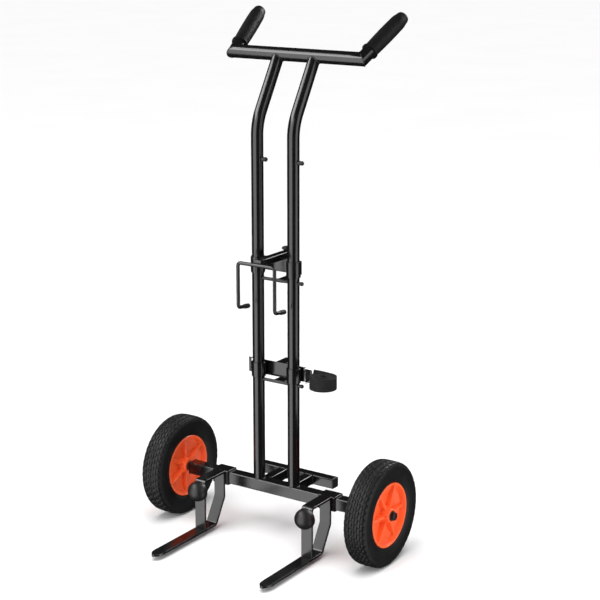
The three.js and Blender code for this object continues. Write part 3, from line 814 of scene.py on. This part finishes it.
@dataclass
class Mast:
    """The two round uprights, their pins and studs, and the handle bar with its grips."""

    knee: float = 1006.0
    knee_radius: float = 110.0
    grip_start: float = 29.0
    grip_length: float = 132.0

    def build(self, shop: Workshop) -> None:
        """Makes its pieces.

        Args:
            shop: Makes materials and pieces.
        """
        for side in Side:
            self.upright(shop, side)
            self.grip(shop, side)
            start = side.value * UPRIGHT_OFFSET + TUBE_RADIUS
            stud = spin([[0, -2], [5.2, -2], [5.6, 2], [4.6, 7], [5.4, 9], [5.2, 11.5], [3.4, 13], [0, 13.2]],
                        X_AXIS, (start, 0, STUD_HEIGHT), 40)
            shop.piece(f"{side.word}_rubber_stop", [stud], PLASTIC, "frame", [f"{side.word}_stop_stud"])
        for word, height in (("lower", LOWER_PIN), ("upper", UPPER_PIN)):
            end = UPRIGHT_OFFSET + TUBE_RADIUS + 0.3
            pin = spin([[0, -end], [3.6, -end], [4, 0.6 - end], [4, end + 6], [0, end + 6]], X_AXIS,
                       (0, 0, height), 40)
            knob = spin([[0, end + 6], [4.6, end + 6], [4.8, end + 6.6], [4.8, end + 9.8], [4, end + 12],
                         [2, end + 12.9], [0, end + 13]], X_AXIS, (0, 0, height), 40)
            shop.piece(f"{word}_pin", [pin], BLACKENED, "frame", [f"{word}_cross_pin"])
            shop.piece(f"{word}_pin_knob", [knob], PLASTIC, "frame")
        self.handle(shop)

    def upright(self, shop: Workshop, side: Side) -> None:
        """One upright with its welds: a bead on the beam and a saddle bead under the handle bar.

        Args:
            shop: Makes materials and pieces.
            side: Which upright.
        """
        x = side.value * UPRIGHT_OFFSET
        y1, z1 = HANDLE_POINT
        lean = np.array([0, y1, z1 - self.knee]) / math.hypot(y1, z1 - self.knee)
        top = np.array([x, y1, z1]) - lean * 6
        route = Route([(x, 0, BEAM_TOP - 0.5), (x, 0, self.knee), tuple(top)], self.knee_radius, 28)
        tube = sweep(route.refined(30), RoundSection(TUBE_RADIUS), X_AXIS, 0.2)
        turn = full_turn(80)
        foot = np.stack([x + 14.1 * np.cos(turn), 14.1 * np.sin(turn), np.full(80, BEAM_TOP + 0.3)], axis=1)
        across = np.cross(X_AXIS, lean)
        ring = TUBE_RADIUS * (np.cos(turn)[:, None] * X_AXIS + np.sin(turn)[:, None] * across)
        back = np.sqrt(np.maximum(HANDLE_RADIUS**2 - (ring @ across) ** 2, 0.0))
        saddle = np.array([x, y1, z1]) + ring - back[:, None] * lean
        shop.piece(f"{side.word}_upright_tube", [tube, bead(foot, 1.2), bead(saddle, 1.5)], POWDER, "frame",
                   [f"{side.word}_upright"])

    def handle(self, shop: Workshop) -> None:
        """The handle bar, mitred at each end into a stub that runs back into the grip.

        Args:
            shop: Makes materials and pieces.
        """
        y, z = HANDLE_POINT
        way = unit(np.array(GRIP_WAY))
        section = RoundSection(HANDLE_RADIUS).outline(0)
        up = unit(np.cross(X_AXIS, np.array([0, way[1], way[2]])))
        corner = np.array([HANDLE_CORNER, y, z])
        back = np.cross(up, X_AXIS)
        flat = section[:, :1] * back + section[:, 1:] * up
        split = unit(X_AXIS + way)
        mitre = corner + flat - X_AXIS * ((flat @ split) / (X_AXIS @ split))[:, None]
        stub_side = np.cross(up, way)
        stub = section[:, :1] * stub_side + section[:, 1:] * up
        right = [corner + stub + way * d for d in (20.0, 60.0, 128.0)]
        mirror = np.array([-1, 1, 1])
        bar = [np.array([t, y, z]) + flat for t in np.linspace(-150, 150, 9)]
        rings = [*[(r * mirror) for r in right[::-1]], mitre * mirror, *bar, mitre, *right]
        tube = loft(np.array(rings))
        seam = bead(mitre, 0.9)
        shop.piece("handle_tube", [tube, seam, seam.mirrored()], POWDER, "frame", ["handle_bar"])

    def grip(self, shop: Workshop, side: Side) -> None:
        """One moulded grip: a flanged collar, a waist, a swell for the palm and a domed end.

        Args:
            shop: Makes materials and pieces.
            side: Which grip.
        """
        way = unit(np.array(GRIP_WAY) * [side.value, 1, 1])
        length = self.grip_length
        along = np.linspace(0, length, 150)
        swell = 17.4 + 1.4 * np.sin(np.clip((along - 8) / 124, 0, 1) * np.pi) ** 0.8
        ribs = 0.35 * np.maximum(0, np.sin(along * 2 * np.pi / 6.2)) * step_up(along, 22, 30) * (
            1 - step_up(along, length - 20, length - 12))
        flange = 2.6 * (1 - step_up(along, 3.4, 5.4))
        radius = swell - ribs + flange - 2.2 * step_up(along, length - 20, length)
        dome = np.linspace(0, np.pi / 2, 14)[1:]
        end = [(15.0 * math.cos(a), length + 8.3 * math.sin(a)) for a in dome]
        profile = [(16.1, 0.0), *zip(radius, along), *end]
        base = np.array([side.value * HANDLE_CORNER, *HANDLE_POINT]) + self.grip_start * way
        shop.piece(f"{side.word}_handle_grip", [spin([(0, 1.0), *profile], way, base, 56, 0)], GRIP, "frame",
                   [f"{side.word}_grip"])


@dataclass
class Wheel:
    """One wheel: a block-tread tyre, a dished six-rib rim and a black end cap."""

    side: Side
    radius: float = 125.0
    rim_radius: float = 77.3
    blocks: int = 46
    row_width: float = 7.2
    groove: float = 2.1
    dish: float = 8.0
    boss_face: float = 30.0
    lip_face: float = 25.5
    rib_top: float = 20.5

    def build(self, shop: Workshop) -> None:
        """Makes its pieces.

        Args:
            shop: Makes materials and pieces.
        """
        body = f"{self.side.word}_wheel"
        at = {"x": self.side.value * WHEEL_OFFSET, "z": WHEEL_HEIGHT}
        word = self.side.word
        shop.piece(f"{word}_tread_tyre", [self.tyre().on(self.side).moved(**at)], TYRE, body,
                   [f"{word}_tyre"])
        shop.piece(f"{word}_wheel_rim", [self.rim().on(self.side).moved(**at)], ORANGE, body, [f"{word}_rim"])
        shop.dress([f"{word}_inner_bush", f"{word}_outer_bush"], NYLON)
        cap = spin([[0, 33.9], [9.8, 33.9], [9.8, 38.4], [8.6, 40.0], [5, 40.8], [0, 41]], X_AXIS,
                   (0, 0, 0), 48)
        shop.piece(f"{word}_axle_cap", [cap.on(self.side).moved(**at)], PLASTIC, "frame", [f"{word}_hub_cap"])

    @staticmethod
    def turned(radius: Array, across: Array, turn: Array) -> Surface:
        """A surface around X from radii and places along X over a grid."""
        rings = np.stack([across, radius * np.cos(turn), radius * np.sin(turn)], axis=-1)
        return loft(rings, closed=True)

    def tyre(self) -> Surface:
        """The tyre: a rounded section whose crown is cut into five rows of blocks.

        Returns:
            The tyre about the origin.
        """
        top = self.radius
        half = np.array([[0, top], [13, top - 0.1], [21, top - 1.1], [26, top - 3.8], [28.4, top - 9],
                         [29.2, top - 18], [29.2, top - 30], [27.6, top - 39], [25.6, top - 44.5],
                         [24.2, self.rim_radius]])
        outline = np.concatenate([half[::-1] * [-1, 1], half[1:]])
        gap = distances(outline)
        place = np.linspace(0, gap[-1], 150)
        line = np.stack([np.interp(place, gap, outline[:, i]) for i in (0, 1)], axis=1)
        for _ in range(6):
            line[1:-1] = (line[:-2] + 2 * line[1:-1] + line[2:]) / 4
        turn = full_turn(self.blocks * 12)
        x, r = line[:, :1], line[:, 1:]
        rows = (np.abs(x) + self.row_width / 2) / self.row_width
        row = np.floor(rows)
        beside = np.abs(rows - row - 0.5) * 2
        phase = turn[None] * self.blocks / (2 * np.pi) + 0.5 * row + 0.18 * np.sign(x) + 0.02 * x
        within = np.abs(phase - np.floor(phase) - 0.5) * 2
        block = (1 - step_up(within, 0.7, 0.92)) * (1 - step_up(beside, 0.74, 0.94))
        crown = step_up(r, 116.5, 119.5)
        ridge = 0.7 * np.exp(-((r - 112.0) / 1.1) ** 2) + 0.5 * np.exp(-((r - 84.0) / 1.2) ** 2)
        lift = self.groove * crown * (1 - block) - ridge
        normal_x = np.gradient(line[:, 1])[:, None]
        normal_r = -np.gradient(line[:, 0])[:, None]
        size = np.hypot(normal_x, normal_r)
        across = x + lift * normal_x / size
        radius = r + lift * normal_r / size
        bore = np.linspace(line[-1, 0], line[0, 0], 8)[1:-1, None] * np.ones_like(turn)
        across = np.concatenate([across * np.ones_like(turn), bore])
        radius = np.concatenate([radius * np.ones_like(turn), np.full_like(bore, self.rim_radius)])
        return self.turned(radius, across, turn).flipped()

    def rim(self) -> Surface:
        """The rim: a dish on each side with a boss, a lip and six ribs from boss to lip.

        Returns:
            The rim about the origin.
        """
        turn = full_turn(432)
        r = np.concatenate([np.linspace(10.8, 14.5, 5), np.linspace(15, 28, 30), np.linspace(29, 60, 24),
                            np.linspace(60.5, 76.6, 44)])[:, None]
        ahead = turn - (0.0 if self.side is Side.RIGHT else np.pi / 6)
        nearest = np.abs((ahead / (np.pi / 3) + 0.5) % 1 - 0.5) * np.pi / 3
        aside = r * np.sin(nearest)[None]
        rib = 1 - step_up(aside, 2.4, 5.2)
        floor = self.dish + 3.5 * step_up(r, 48, 66)
        boss = 1 - step_up(r, 15.2, 21.5)
        lip = step_up(r, 67.0, 73.0)
        face = floor + (self.boss_face - floor) * boss + (self.lip_face - floor) * lip
        top = self.rib_top - 2.5 * step_up(r, 24, 66)
        face = face * np.ones_like(turn) + rib * np.maximum(top - face, 0)
        face -= 0.6 * (1 - step_up(r, 10.8, 11.8)) + 1.2 * step_up(r, 75.6, 76.6)
        radii = r * np.ones_like(turn)
        wall = np.linspace(-24, 24, 7)[:, None] * np.ones_like(turn)
        inner = np.minimum(face, 28.0)
        across = np.concatenate([face, wall[::-1], -inner[::-1], wall])
        radius = np.concatenate([radii, np.full_like(wall, 77.0), radii[::-1], np.full_like(wall, 10.5)])
        return self.turned(radius, across, turn)


@dataclass
class Fork:
    """One sliding fork: sleeve, tine, brace, rubber bumper and lock bolt."""

    side: Side
    outer: float = 18.5
    half_length: float = 23.0
    bend_z: float = 76.0
    tine_z: float = 15.0
    heel_y: float = -57.0
    tip_y: float = -288.0
    brace_y: float = -100.5
    pad_z: float = 117.0
    pad_radius: float = 24.5
    pad_base: float = 8.0
    pad_depth: float = 30.0

    def build(self, shop: Workshop) -> None:
        """Makes its pieces.

        Args:
            shop: Makes materials and pieces.
        """
        word = self.side.word
        body = f"{word}_fork"
        x = self.side.value * FORK_OFFSET
        shop.piece(f"{word}_sleeve", [self.sleeve().moved(x)], POWDER, body, [f"{word}_fork_sleeve"])
        flat = BarSection(15, 3, 1.2)
        leg_y = -self.outer - 3.2
        top = WHEEL_HEIGHT + self.outer
        tine = Route([(x, leg_y, top - 6.2), (x, leg_y, self.bend_z), (x, self.heel_y, self.tine_z),
                      (x, self.tip_y, self.tine_z)], 12, 16).refined(12)
        blade = sweep(tine, flat, X_AXIS, 0.8, self.nose)
        shop.piece(f"{word}_tine_blade", [blade], POWDER, body, [f"{word}_tine"])
        brace = Route([(x, 1 - self.outer, top - 3), (x, self.brace_y, top - 3),
                       (x, self.brace_y, self.tine_z + 3.2)], 7, 14).refined(12)
        weld = bar_x(x - 13, x + 13, self.brace_y + 3.5, self.tine_z + 4.2, 1.6, 1.6, 1.5)
        shop.piece(f"{word}_brace", [sweep(brace, flat, X_AXIS, 0.8), weld], POWDER, body,
                   [f"{word}_fork_brace"])
        r, base, deep = self.pad_radius, self.pad_base, self.pad_depth
        dome = [[r * math.cos(a), base + (deep - base) * math.sin(a)]
                for a in np.linspace(0, np.pi / 2, 16)[:-1]]
        pad = [[0, 0.2], [r - 0.8, 0.2], [r, 1.0], [r, base], *dome, [0, deep]]
        shop.piece(f"{word}_rubber_bumper", [spin(pad, -Y_AXIS, (x, self.brace_y - 3.1, self.pad_z), 64, 0)],
                   BUMPER, body, [f"{word}_bumper"])
        shop.dress([f"{word}_bumper_screw", f"{word}_fork_lock_bolt"], ZINC)

    @staticmethod
    def nose(left: Array) -> Array:
        """The tine's width towards its tip: full, then an ogive over the last stretch."""
        share = np.clip(1 - left / 27.0, 0, 1)
        return np.maximum(np.sqrt(np.maximum(1 - share**2.2, 0)), 0.12)

    def sleeve(self) -> Surface:
        """The square sleeve, open through its middle.

        Returns:
            The sleeve about X = 0.
        """
        outside = BarSection(self.outer, self.outer, 3.5, 7)
        inside = BarSection(15.5, 15.5, 2.0, 7)
        end = self.half_length
        rings = []
        for x, section, inset in ((-end, outside, 0.8), (0.4 - end, outside, 0.2), (1 - end, outside, 0.0),
                                  (end - 1, outside, 0.0), (end - 0.4, outside, 0.2), (end, outside, 0.8),
                                  (end, inside, 0.0), (-end, inside, 0.0)):
            flat = section.outline(inset)
            rings.append(np.stack([np.full(len(flat), x), flat[:, 0], WHEEL_HEIGHT + flat[:, 1]], axis=1))
        return loft(np.array(rings), closed=True)


def add_collars(shop: Workshop, word: str, body: str, low: float, high: float) -> None:
    """Makes the two collars of a slider, one round each upright.

    Args:
        shop: Makes materials and pieces.
        word: First word of the pieces' names.
        body: The slider's body; its first word starts the names of the nodes.
        low: Lower end of the collars.
        high: Their upper end.
    """
    for side in Side:
        tube = spin([[15.0, low], [16.6, low], [17, low + 0.8], [17, high - 0.8], [16.6, high], [15.0, high],
                     [15.0, low]], Z_AXIS, (side.value * UPRIGHT_OFFSET, 0, 0), 56)
        shop.piece(f"{word}_{side.word}_collar", [tube], POWDER, body,
                   [f"{body.split('_')[0]}_{side.word}_collar"])


def slotted_plate(half_x: float, low: float, high: float, slot: tuple[float, float, float]) -> list[Surface]:
    """A flat bar behind the uprights, made of rails and posts round the slot at each end.

    Args:
        half_x: Half its length.
        low: Its lower edge.
        high: Its upper edge.
        slot: Start, end and half height of each slot.

    Returns:
        The bar's patches.
    """
    middle, half = (low + high) / 2, (high - low) / 2
    start, end, tall = slot
    rail = (half - tall) / 2
    patches = [bar_x(-start, start, PLATE_Y, middle, PLATE_HALF, half, 0.7)]
    for sign in (-1, 1):
        a, b = sorted((sign * (start - 1), sign * half_x))
        patches += [bar_x(a, b, PLATE_Y, middle + k * (tall + rail), PLATE_HALF, rail, 0.7) for k in (-1, 1)]
        a, b = sorted((sign * end, sign * half_x))
        patches.append(bar_x(a, b, PLATE_Y, middle, PLATE_HALF, half - 0.2, 0.7))
    return patches


def notched_plate(half_x: float, low: float, high: float, notch: float, floor: float) -> list[Surface]:
    """A flat bar behind the uprights with a notch in the middle of its upper edge.

    Args:
        half_x: Half its length.
        low: Its lower edge.
        high: Its upper edge.
        notch: Half the width of the notch.
        floor: Height of the notch's floor.

    Returns:
        The bar's patches.
    """
    lower = bar_x(-half_x, half_x, PLATE_Y, (low + floor) / 2, PLATE_HALF, (floor - low) / 2, 0.7)
    horns = [bar_x(*sorted((sign * notch, sign * half_x)), PLATE_Y, (floor + high) / 2 - 0.6, PLATE_HALF,
                   (high - floor) / 2 + 0.6, 0.7) for sign in (-1, 1)]
    return [lower, *horns]


@dataclass
class StrapCarriage:
    """The lower slider: slotted bar, two collars, a bent pull, a chrome ring and the rolled strap."""

    low: float = 399.3
    high: float = 435.3
    half_length: float = 91.0
    slot: tuple[float, float, float] = (75.0, 85.0, 15.5)
    roll_centre: tuple[float, float] = (138.0, -9.0)
    roll_radius: float = 33.0
    core: float = 7.0
    strap_length: float = 2.0
    ring_x: float = 84.0
    ring_y: float = 13.5

    def build(self, shop: Workshop) -> None:
        """Makes its pieces.

        Args:
            shop: Makes materials and pieces.
        """
        body = "strap_carriage"
        plate = slotted_plate(self.half_length, self.low, self.high, self.slot)
        shop.piece("slotted_bar", plate, POWDER, body, ["strap_bar"])
        add_collars(shop, "lower", body, self.low, self.high)
        pull = Route([(0, 19.5, self.high - 1.5), (0, 67.5, self.high - 1.5), (0, 67.5, self.low - 8),
                      (0, 9, self.low - 8)], 6, 12).refined(8)
        shop.piece("lower_pull", [sweep(pull, BarSection(14, 1.5, 0.6), X_AXIS, 0.5)], POWDER, body,
                   ["strap_pull_handle"])
        shop.piece("buckle_ring", [self.ring()], CHROME, body, ["strap_ring"])
        strap = shop.piece("rolled_strap", [self.strap()], WEBBING, body, ["strap_roll"])
        thickness = strap.modifiers.new("thickness", "SOLIDIFY")
        thickness.thickness = 1.2 * MM
        thickness.offset = 0

    @property
    def middle(self) -> float:
        """Height of the strap's middle."""
        return (self.low + self.high) / 2

    def ring(self) -> Surface:
        """The wire ring: a round section carried round a rectangle with round corners.

        Returns:
            The ring.
        """
        flat = BarSection(12.0, 18.0, 4.5, 9).outline(0)
        points = np.stack([self.ring_x + flat[:, 0], np.full(len(flat), self.ring_y),
                           self.middle + flat[:, 1]], axis=1)
        out = np.cross(unit(np.roll(points, -1, axis=0) - np.roll(points, 1, axis=0)), Y_AXIS)
        turn = full_turn(20)
        rings = points[:, None] + 2.0 * (np.cos(turn)[None, :, None] * out[:, None]
                                         + np.sin(turn)[None, :, None] * Y_AXIS)
        return loft(rings, closed=True).flipped()

    def strap(self) -> Surface:
        """The webbing: round the ring, back through the slot, then a spiral roll to its free end.

        Returns:
            The strap as a thin ribbon.
        """
        cx, cy = self.roll_centre
        loop = np.linspace(-0.25 * np.pi, -1.6 * np.pi, 18)
        bar = self.ring_x - 12.0
        hitch = np.stack([bar + 3.0 * np.cos(loop), self.ring_y + 3.0 * np.sin(loop)], axis=1)
        lead_end = np.array([cx, cy + self.roll_radius])
        lead = np.array([[77.5, 17.0], [81.0, 20.0], [87.0, 24.0], [94.0, 25.6], [108.0, 25.8],
                         [124.0, 25.0]])
        turns = (self.roll_radius - self.core) / 1.62
        angle = np.linspace(0, 2 * np.pi * turns, int(turns * 44))
        radius = self.roll_radius - 0.7 - (self.roll_radius - self.core) * angle / angle[-1]
        radius = radius * (1 + 0.004 * np.sin(3 * angle + 0.7))
        spiral = np.stack([cx + radius * np.sin(angle), cy + radius * np.cos(angle)], axis=1)
        line = np.concatenate([hitch, lead, [lead_end - [2.0, 0.8]], spiral[1:]])
        run = distances(line)
        log.info("strap length along its middle: %.3f m", run[-1] * MM)
        place = np.linspace(0, run[-1], len(line))
        line = np.stack([np.interp(place, run, line[:, i]) for i in (0, 1)], axis=1)
        across = np.linspace(-14.6, 14.6, 7)
        drift = 0.6 * np.sin(np.linspace(0, 9, len(line)))[:, None] * step_up(place, 60, 200)[:, None]
        z = self.middle + across[None] + drift
        points = np.stack([np.repeat(line[:, :1], 7, axis=1), np.repeat(line[:, 1:], 7, axis=1), z], axis=-1)
        uv = np.stack(np.meshgrid(across, place), axis=-1).reshape(-1, 2)
        faces = grid_faces(len(line), 7, False, False)
        return Surface(points.reshape(-1, 3), faces, np.zeros(len(line) * 7), uv)


@dataclass
class HookCarriage:
    """The upper slider: plate, two collars, arm, wire hook with tips, a bent pull and the lock knob."""

    low: float = 654.5
    high: float = 692.5
    reach: float = -78.7
    half_width: float = 51.0
    plate_low: float = 658.0
    plate_high: float = 691.0
    arm_z: float = 695.0
    arm_half: tuple[float, float] = (10.0, 8.0)
    pull_back: float = 67.5
    wire_z: float = 692.0
    heel_z: float = 585.0
    tip: tuple[float, float] = (-39.0, 580.5)
    knob_y: float = 47.0

    def build(self, shop: Workshop) -> None:
        """Makes its pieces.

        Args:
            shop: Makes materials and pieces.
        """
        body = "hook_carriage"
        wide, tall = self.arm_half
        plate = notched_plate(60, self.plate_low, self.plate_high, wide + 0.3, self.arm_z - tall - 0.3)
        shop.piece("upper_plate", plate, POWDER, body, ["hook_plate"])
        add_collars(shop, "upper", body, self.low, self.high)
        arm = Route([(0, y, self.arm_z) for y in (self.reach + 3.7, 0, 74)], 1e-6, 2).refined(20)
        shop.piece("reach_arm", [sweep(arm, BarSection(wide, tall, 1.6), X_AXIS, 0.8)], POWDER, body,
                   ["hook_arm"])
        pull = Route([(0, self.pull_back, 688), (0, self.pull_back, self.low - 19), (0, 9, self.low - 19)],
                     6, 12).refined(8)
        shop.piece("upper_pull", [sweep(pull, BarSection(14, 1.5, 0.6), X_AXIS, 0.5)], POWDER, body,
                   ["hook_pull_handle"])
        self.hook(shop, body)
        knob = spin([[0, 682], [3.5, 682], [3.5, 703.2], [6.2, 703.3], [6.2, 705.5], [11.2, 706.4],
                     [12, 707.8], [12, 710.4], [10.4, 712.4], [6, 713.2], [0, 713.3]], Z_AXIS,
                    (0, self.knob_y, 0), 60)
        shop.piece("lock_knob", [self.fluted(knob)], PLASTIC, "hook_knob", ["hook_lock_knob"])

    def hook(self, shop: Workshop, body: str) -> None:
        """The bent wire and its two rubber tips.

        Args:
            shop: Makes materials and pieces.
            body: The body they ride on.
        """
        x, y = self.half_width, self.reach
        tip, heel = self.tip, (y, self.heel_z)
        corners = [(-x, *tip), (-x, *heel), (-x, y, self.wire_z), (x, y, self.wire_z), (x, *heel), (x, *tip)]
        wire = sweep(Route(corners, 8, 14).refined(12), RoundSection(4.3, 28), Z_AXIS, 0.3)
        shop.piece("wire_hook", [wire], POWDER, body, ["rim_hook"])
        for side in Side:
            way = np.array([0, tip[0] - heel[0], tip[1] - heel[1]])
            sleeve = spin([[4.4, -17], [5.3, -17], [5.7, -15.5], [5.7, 0], [4.6, 2], [2.6, 2.7], [0, 2.9]],
                          way, (side.value * x, *tip), 36)
            shop.piece(f"{side.word}_hook_sleeve", [sleeve], BUMPER, body, [f"{side.word}_hook_tip"])

    def fluted(self, surface: Surface) -> Surface:
        """Cuts finger flutes round the widest part of the knob.

        Args:
            surface: The plain knob.

        Returns:
            The knob with flutes.
        """
        offset = surface.points - np.array([0, self.knob_y, 0])
        radius = np.hypot(offset[:, 0], offset[:, 1])
        angle = np.arctan2(offset[:, 1], offset[:, 0])
        flute = 0.9 * (0.5 - 0.5 * np.cos(10 * angle)) * step_up(radius, 9.0, 11.5)
        share = (radius - flute) / np.maximum(radius, 1e-6)
        surface.points[:, 0] = offset[:, 0] * share
        surface.points[:, 1] = self.knob_y + offset[:, 1] * share
        return surface


# ---- studio


@dataclass(frozen=True)
class SoftBox:
    """A rectangular light.

    Args:
        name: Its name.
        place: Where it stands, in metres.
        size: Width and height.
        power: Watts.
        sheen_only: Whether it shows in reflections only.
    """

    name: str
    place: tuple[float, float, float]
    size: tuple[float, float]
    power: float
    sheen_only: bool = False


@dataclass
class Studio:
    """Pale floor, soft boxes, even fill and the camera."""

    eye: tuple[float, float, float] = (1.9695, -2.8660, 1.5046)
    azimuth: float = 33.56
    pitch: float = 14.69
    lens: float = 92.1
    target: tuple[float, float, float] = (0.0, 0.0, 0.2)
    fill_strength: float = 3.7
    fill_angle: float = 60.0
    stage_half: float = 60.0
    boxes: tuple[SoftBox, ...] = (
        SoftBox("key_box", (-0.9, -3.07, 0.2), (3.7, 6.4), 235.0),
        SoftBox("side_box", (2.98, 0.31, 0.2), (2.1, 6.4), 95.0),
        SoftBox("top_box", (-1.68, -1.21, 2.6), (2.6, 1.3), 75.0, True),
        SoftBox("back_box", (0.6, 3.2, 2.5), (2.4, 1.1), 100.0, True),
    )

    def build(self) -> None:
        """Sets the stage."""
        scene = bpy.context.scene
        scene.view_settings.view_transform = "Standard"
        self.floor()
        self.backdrop()
        world = bpy.data.worlds.new("studio_air")
        world.use_nodes = True
        world.node_tree.nodes["Background"].inputs["Color"].default_value = (0.015, 0.015, 0.016, 1)
        world.node_tree.nodes["Background"].inputs["Strength"].default_value = 1.0
        scene.world = world
        for box in self.boxes:
            data = bpy.data.lights.new(box.name, "AREA")
            data.shape = "RECTANGLE"
            data.size, data.size_y = box.size
            data.energy = box.power
            lamp = bpy.data.objects.new(box.name, data)
            lamp.visible_camera = False
            lamp.visible_diffuse = not box.sheen_only
            self.aimed(lamp, box.place, self.target)
        sun = bpy.data.lights.new("even_fill", "SUN")
        sun.energy = self.fill_strength
        sun.angle = math.radians(self.fill_angle)
        sun.specular_factor = 0.0
        fill = bpy.data.objects.new("even_fill", sun)
        fill.visible_glossy = False
        self.aimed(fill, (0.4, -0.8, 4), (0, 0, 0))
        camera = bpy.data.cameras.new("camera")
        camera.lens = self.lens
        camera.sensor_width = 36.0
        camera.clip_end = 200.0
        a, p = math.radians(self.azimuth), math.radians(self.pitch)
        eye = (self.eye[0], self.eye[1] + AXLE_Y, self.eye[2])
        forward = (-math.sin(a) * math.cos(p), math.cos(a) * math.cos(p), -math.sin(p))
        obj = bpy.data.objects.new("camera", camera)
        self.aimed(obj, eye, tuple(e + f for e, f in zip(eye, forward)))
        scene.camera = obj
        log.info("studio: %d soft boxes and the camera", len(self.boxes))

    @staticmethod
    def aimed(obj: bpy.types.Object, place: Sequence[float], aim: Sequence[float]) -> None:
        """Places a lamp or camera so that it looks at a point."""
        bpy.context.scene.collection.objects.link(obj)
        obj.location = place
        obj.rotation_euler = (Vector(aim) - Vector(place)).to_track_quat("-Z", "Y").to_euler()

    @staticmethod
    def staged(name: str, corners: list[tuple], faces: list[tuple],
               hidden: Sequence[str]) -> tuple[bpy.types.NodeTree, bpy.types.Node]:
        """Makes one object of the stage with an empty material.

        Args:
            name: The object's name.
            corners: Its corners, in metres.
            faces: Its faces.
            hidden: Kinds of ray that pass through it.

        Returns:
            The material's tree and its surface shader.
        """
        mesh = bpy.data.meshes.new(name)
        mesh.from_pydata(corners, [], faces)
        obj = bpy.data.objects.new(name, mesh)
        material = bpy.data.materials.new(f"pale_{name}")
        material.use_nodes = True
        material.cycles.emission_sampling = "NONE"
        mesh.materials.append(material)
        bpy.context.scene.collection.objects.link(obj)
        for ray in hidden:
            setattr(obj, f"visible_{ray}", False)
        return material.node_tree, material.node_tree.nodes["Principled BSDF"]

    def floor(self) -> None:
        """The plain pale floor, faintly mottled."""
        corners = [(x, y, 0) for x, y in self.outline()]
        tree, shader = self.staged("floor", corners, [(0, 1, 2, 3)], ("glossy", "shadow"))
        where = add_node(tree, "ShaderNodeTexCoord").outputs["Object"]
        noise = add_node(tree, "ShaderNodeTexNoise", {"Vector": where, "Scale": 1.5, "Detail": 3.0})
        colour = Finish.mix(tree, noise.outputs[0], (0.86, 0.86, 0.86), (0.9, 0.9, 0.9))
        tree.links.new(colour, shader.inputs["Base Color"])
        shader.inputs["Roughness"].default_value = 0.7
        shader.inputs["Specular IOR Level"].default_value = 0.1

    def backdrop(self) -> None:
        """A pale surround that closes the space above the floor's edge and gives no light itself."""
        corners = [(x, y, z) for z in (-1.0, self.stage_half) for x, y in self.outline()]
        walls = [(i, (i + 1) % 4, (i + 1) % 4 + 4, i + 4) for i in range(4)]
        _, shader = self.staged("backdrop", corners, [*walls, (4, 5, 6, 7)],
                                ("diffuse", "glossy", "transmission", "shadow"))
        shader.inputs["Base Color"].default_value = (0, 0, 0, 1)
        shader.inputs["Emission Color"].default_value = (1, 1, 1, 1)
        shader.inputs["Emission Strength"].default_value = 1.0

    def outline(self) -> list[tuple[float, float]]:
        """The stage's corners in plan."""
        half = self.stage_half
        return [(-half, -half), (half, -half), (half, half), (-half, half)]


def main() -> None:
    """Builds every sub-assembly in order, then the studio."""
    shop = Workshop()
    RearFrame().build(shop)
    Mast().build(shop)
    for side in Side:
        Wheel(side).build(shop)
        Fork(side).build(shop)
    StrapCarriage().build(shop)
    HookCarriage().build(shop)
    Studio().build()


if __name__ == "__main__":
    logging.basicConfig(level=logging.INFO, format="%(name)s: %(message)s")
    main()
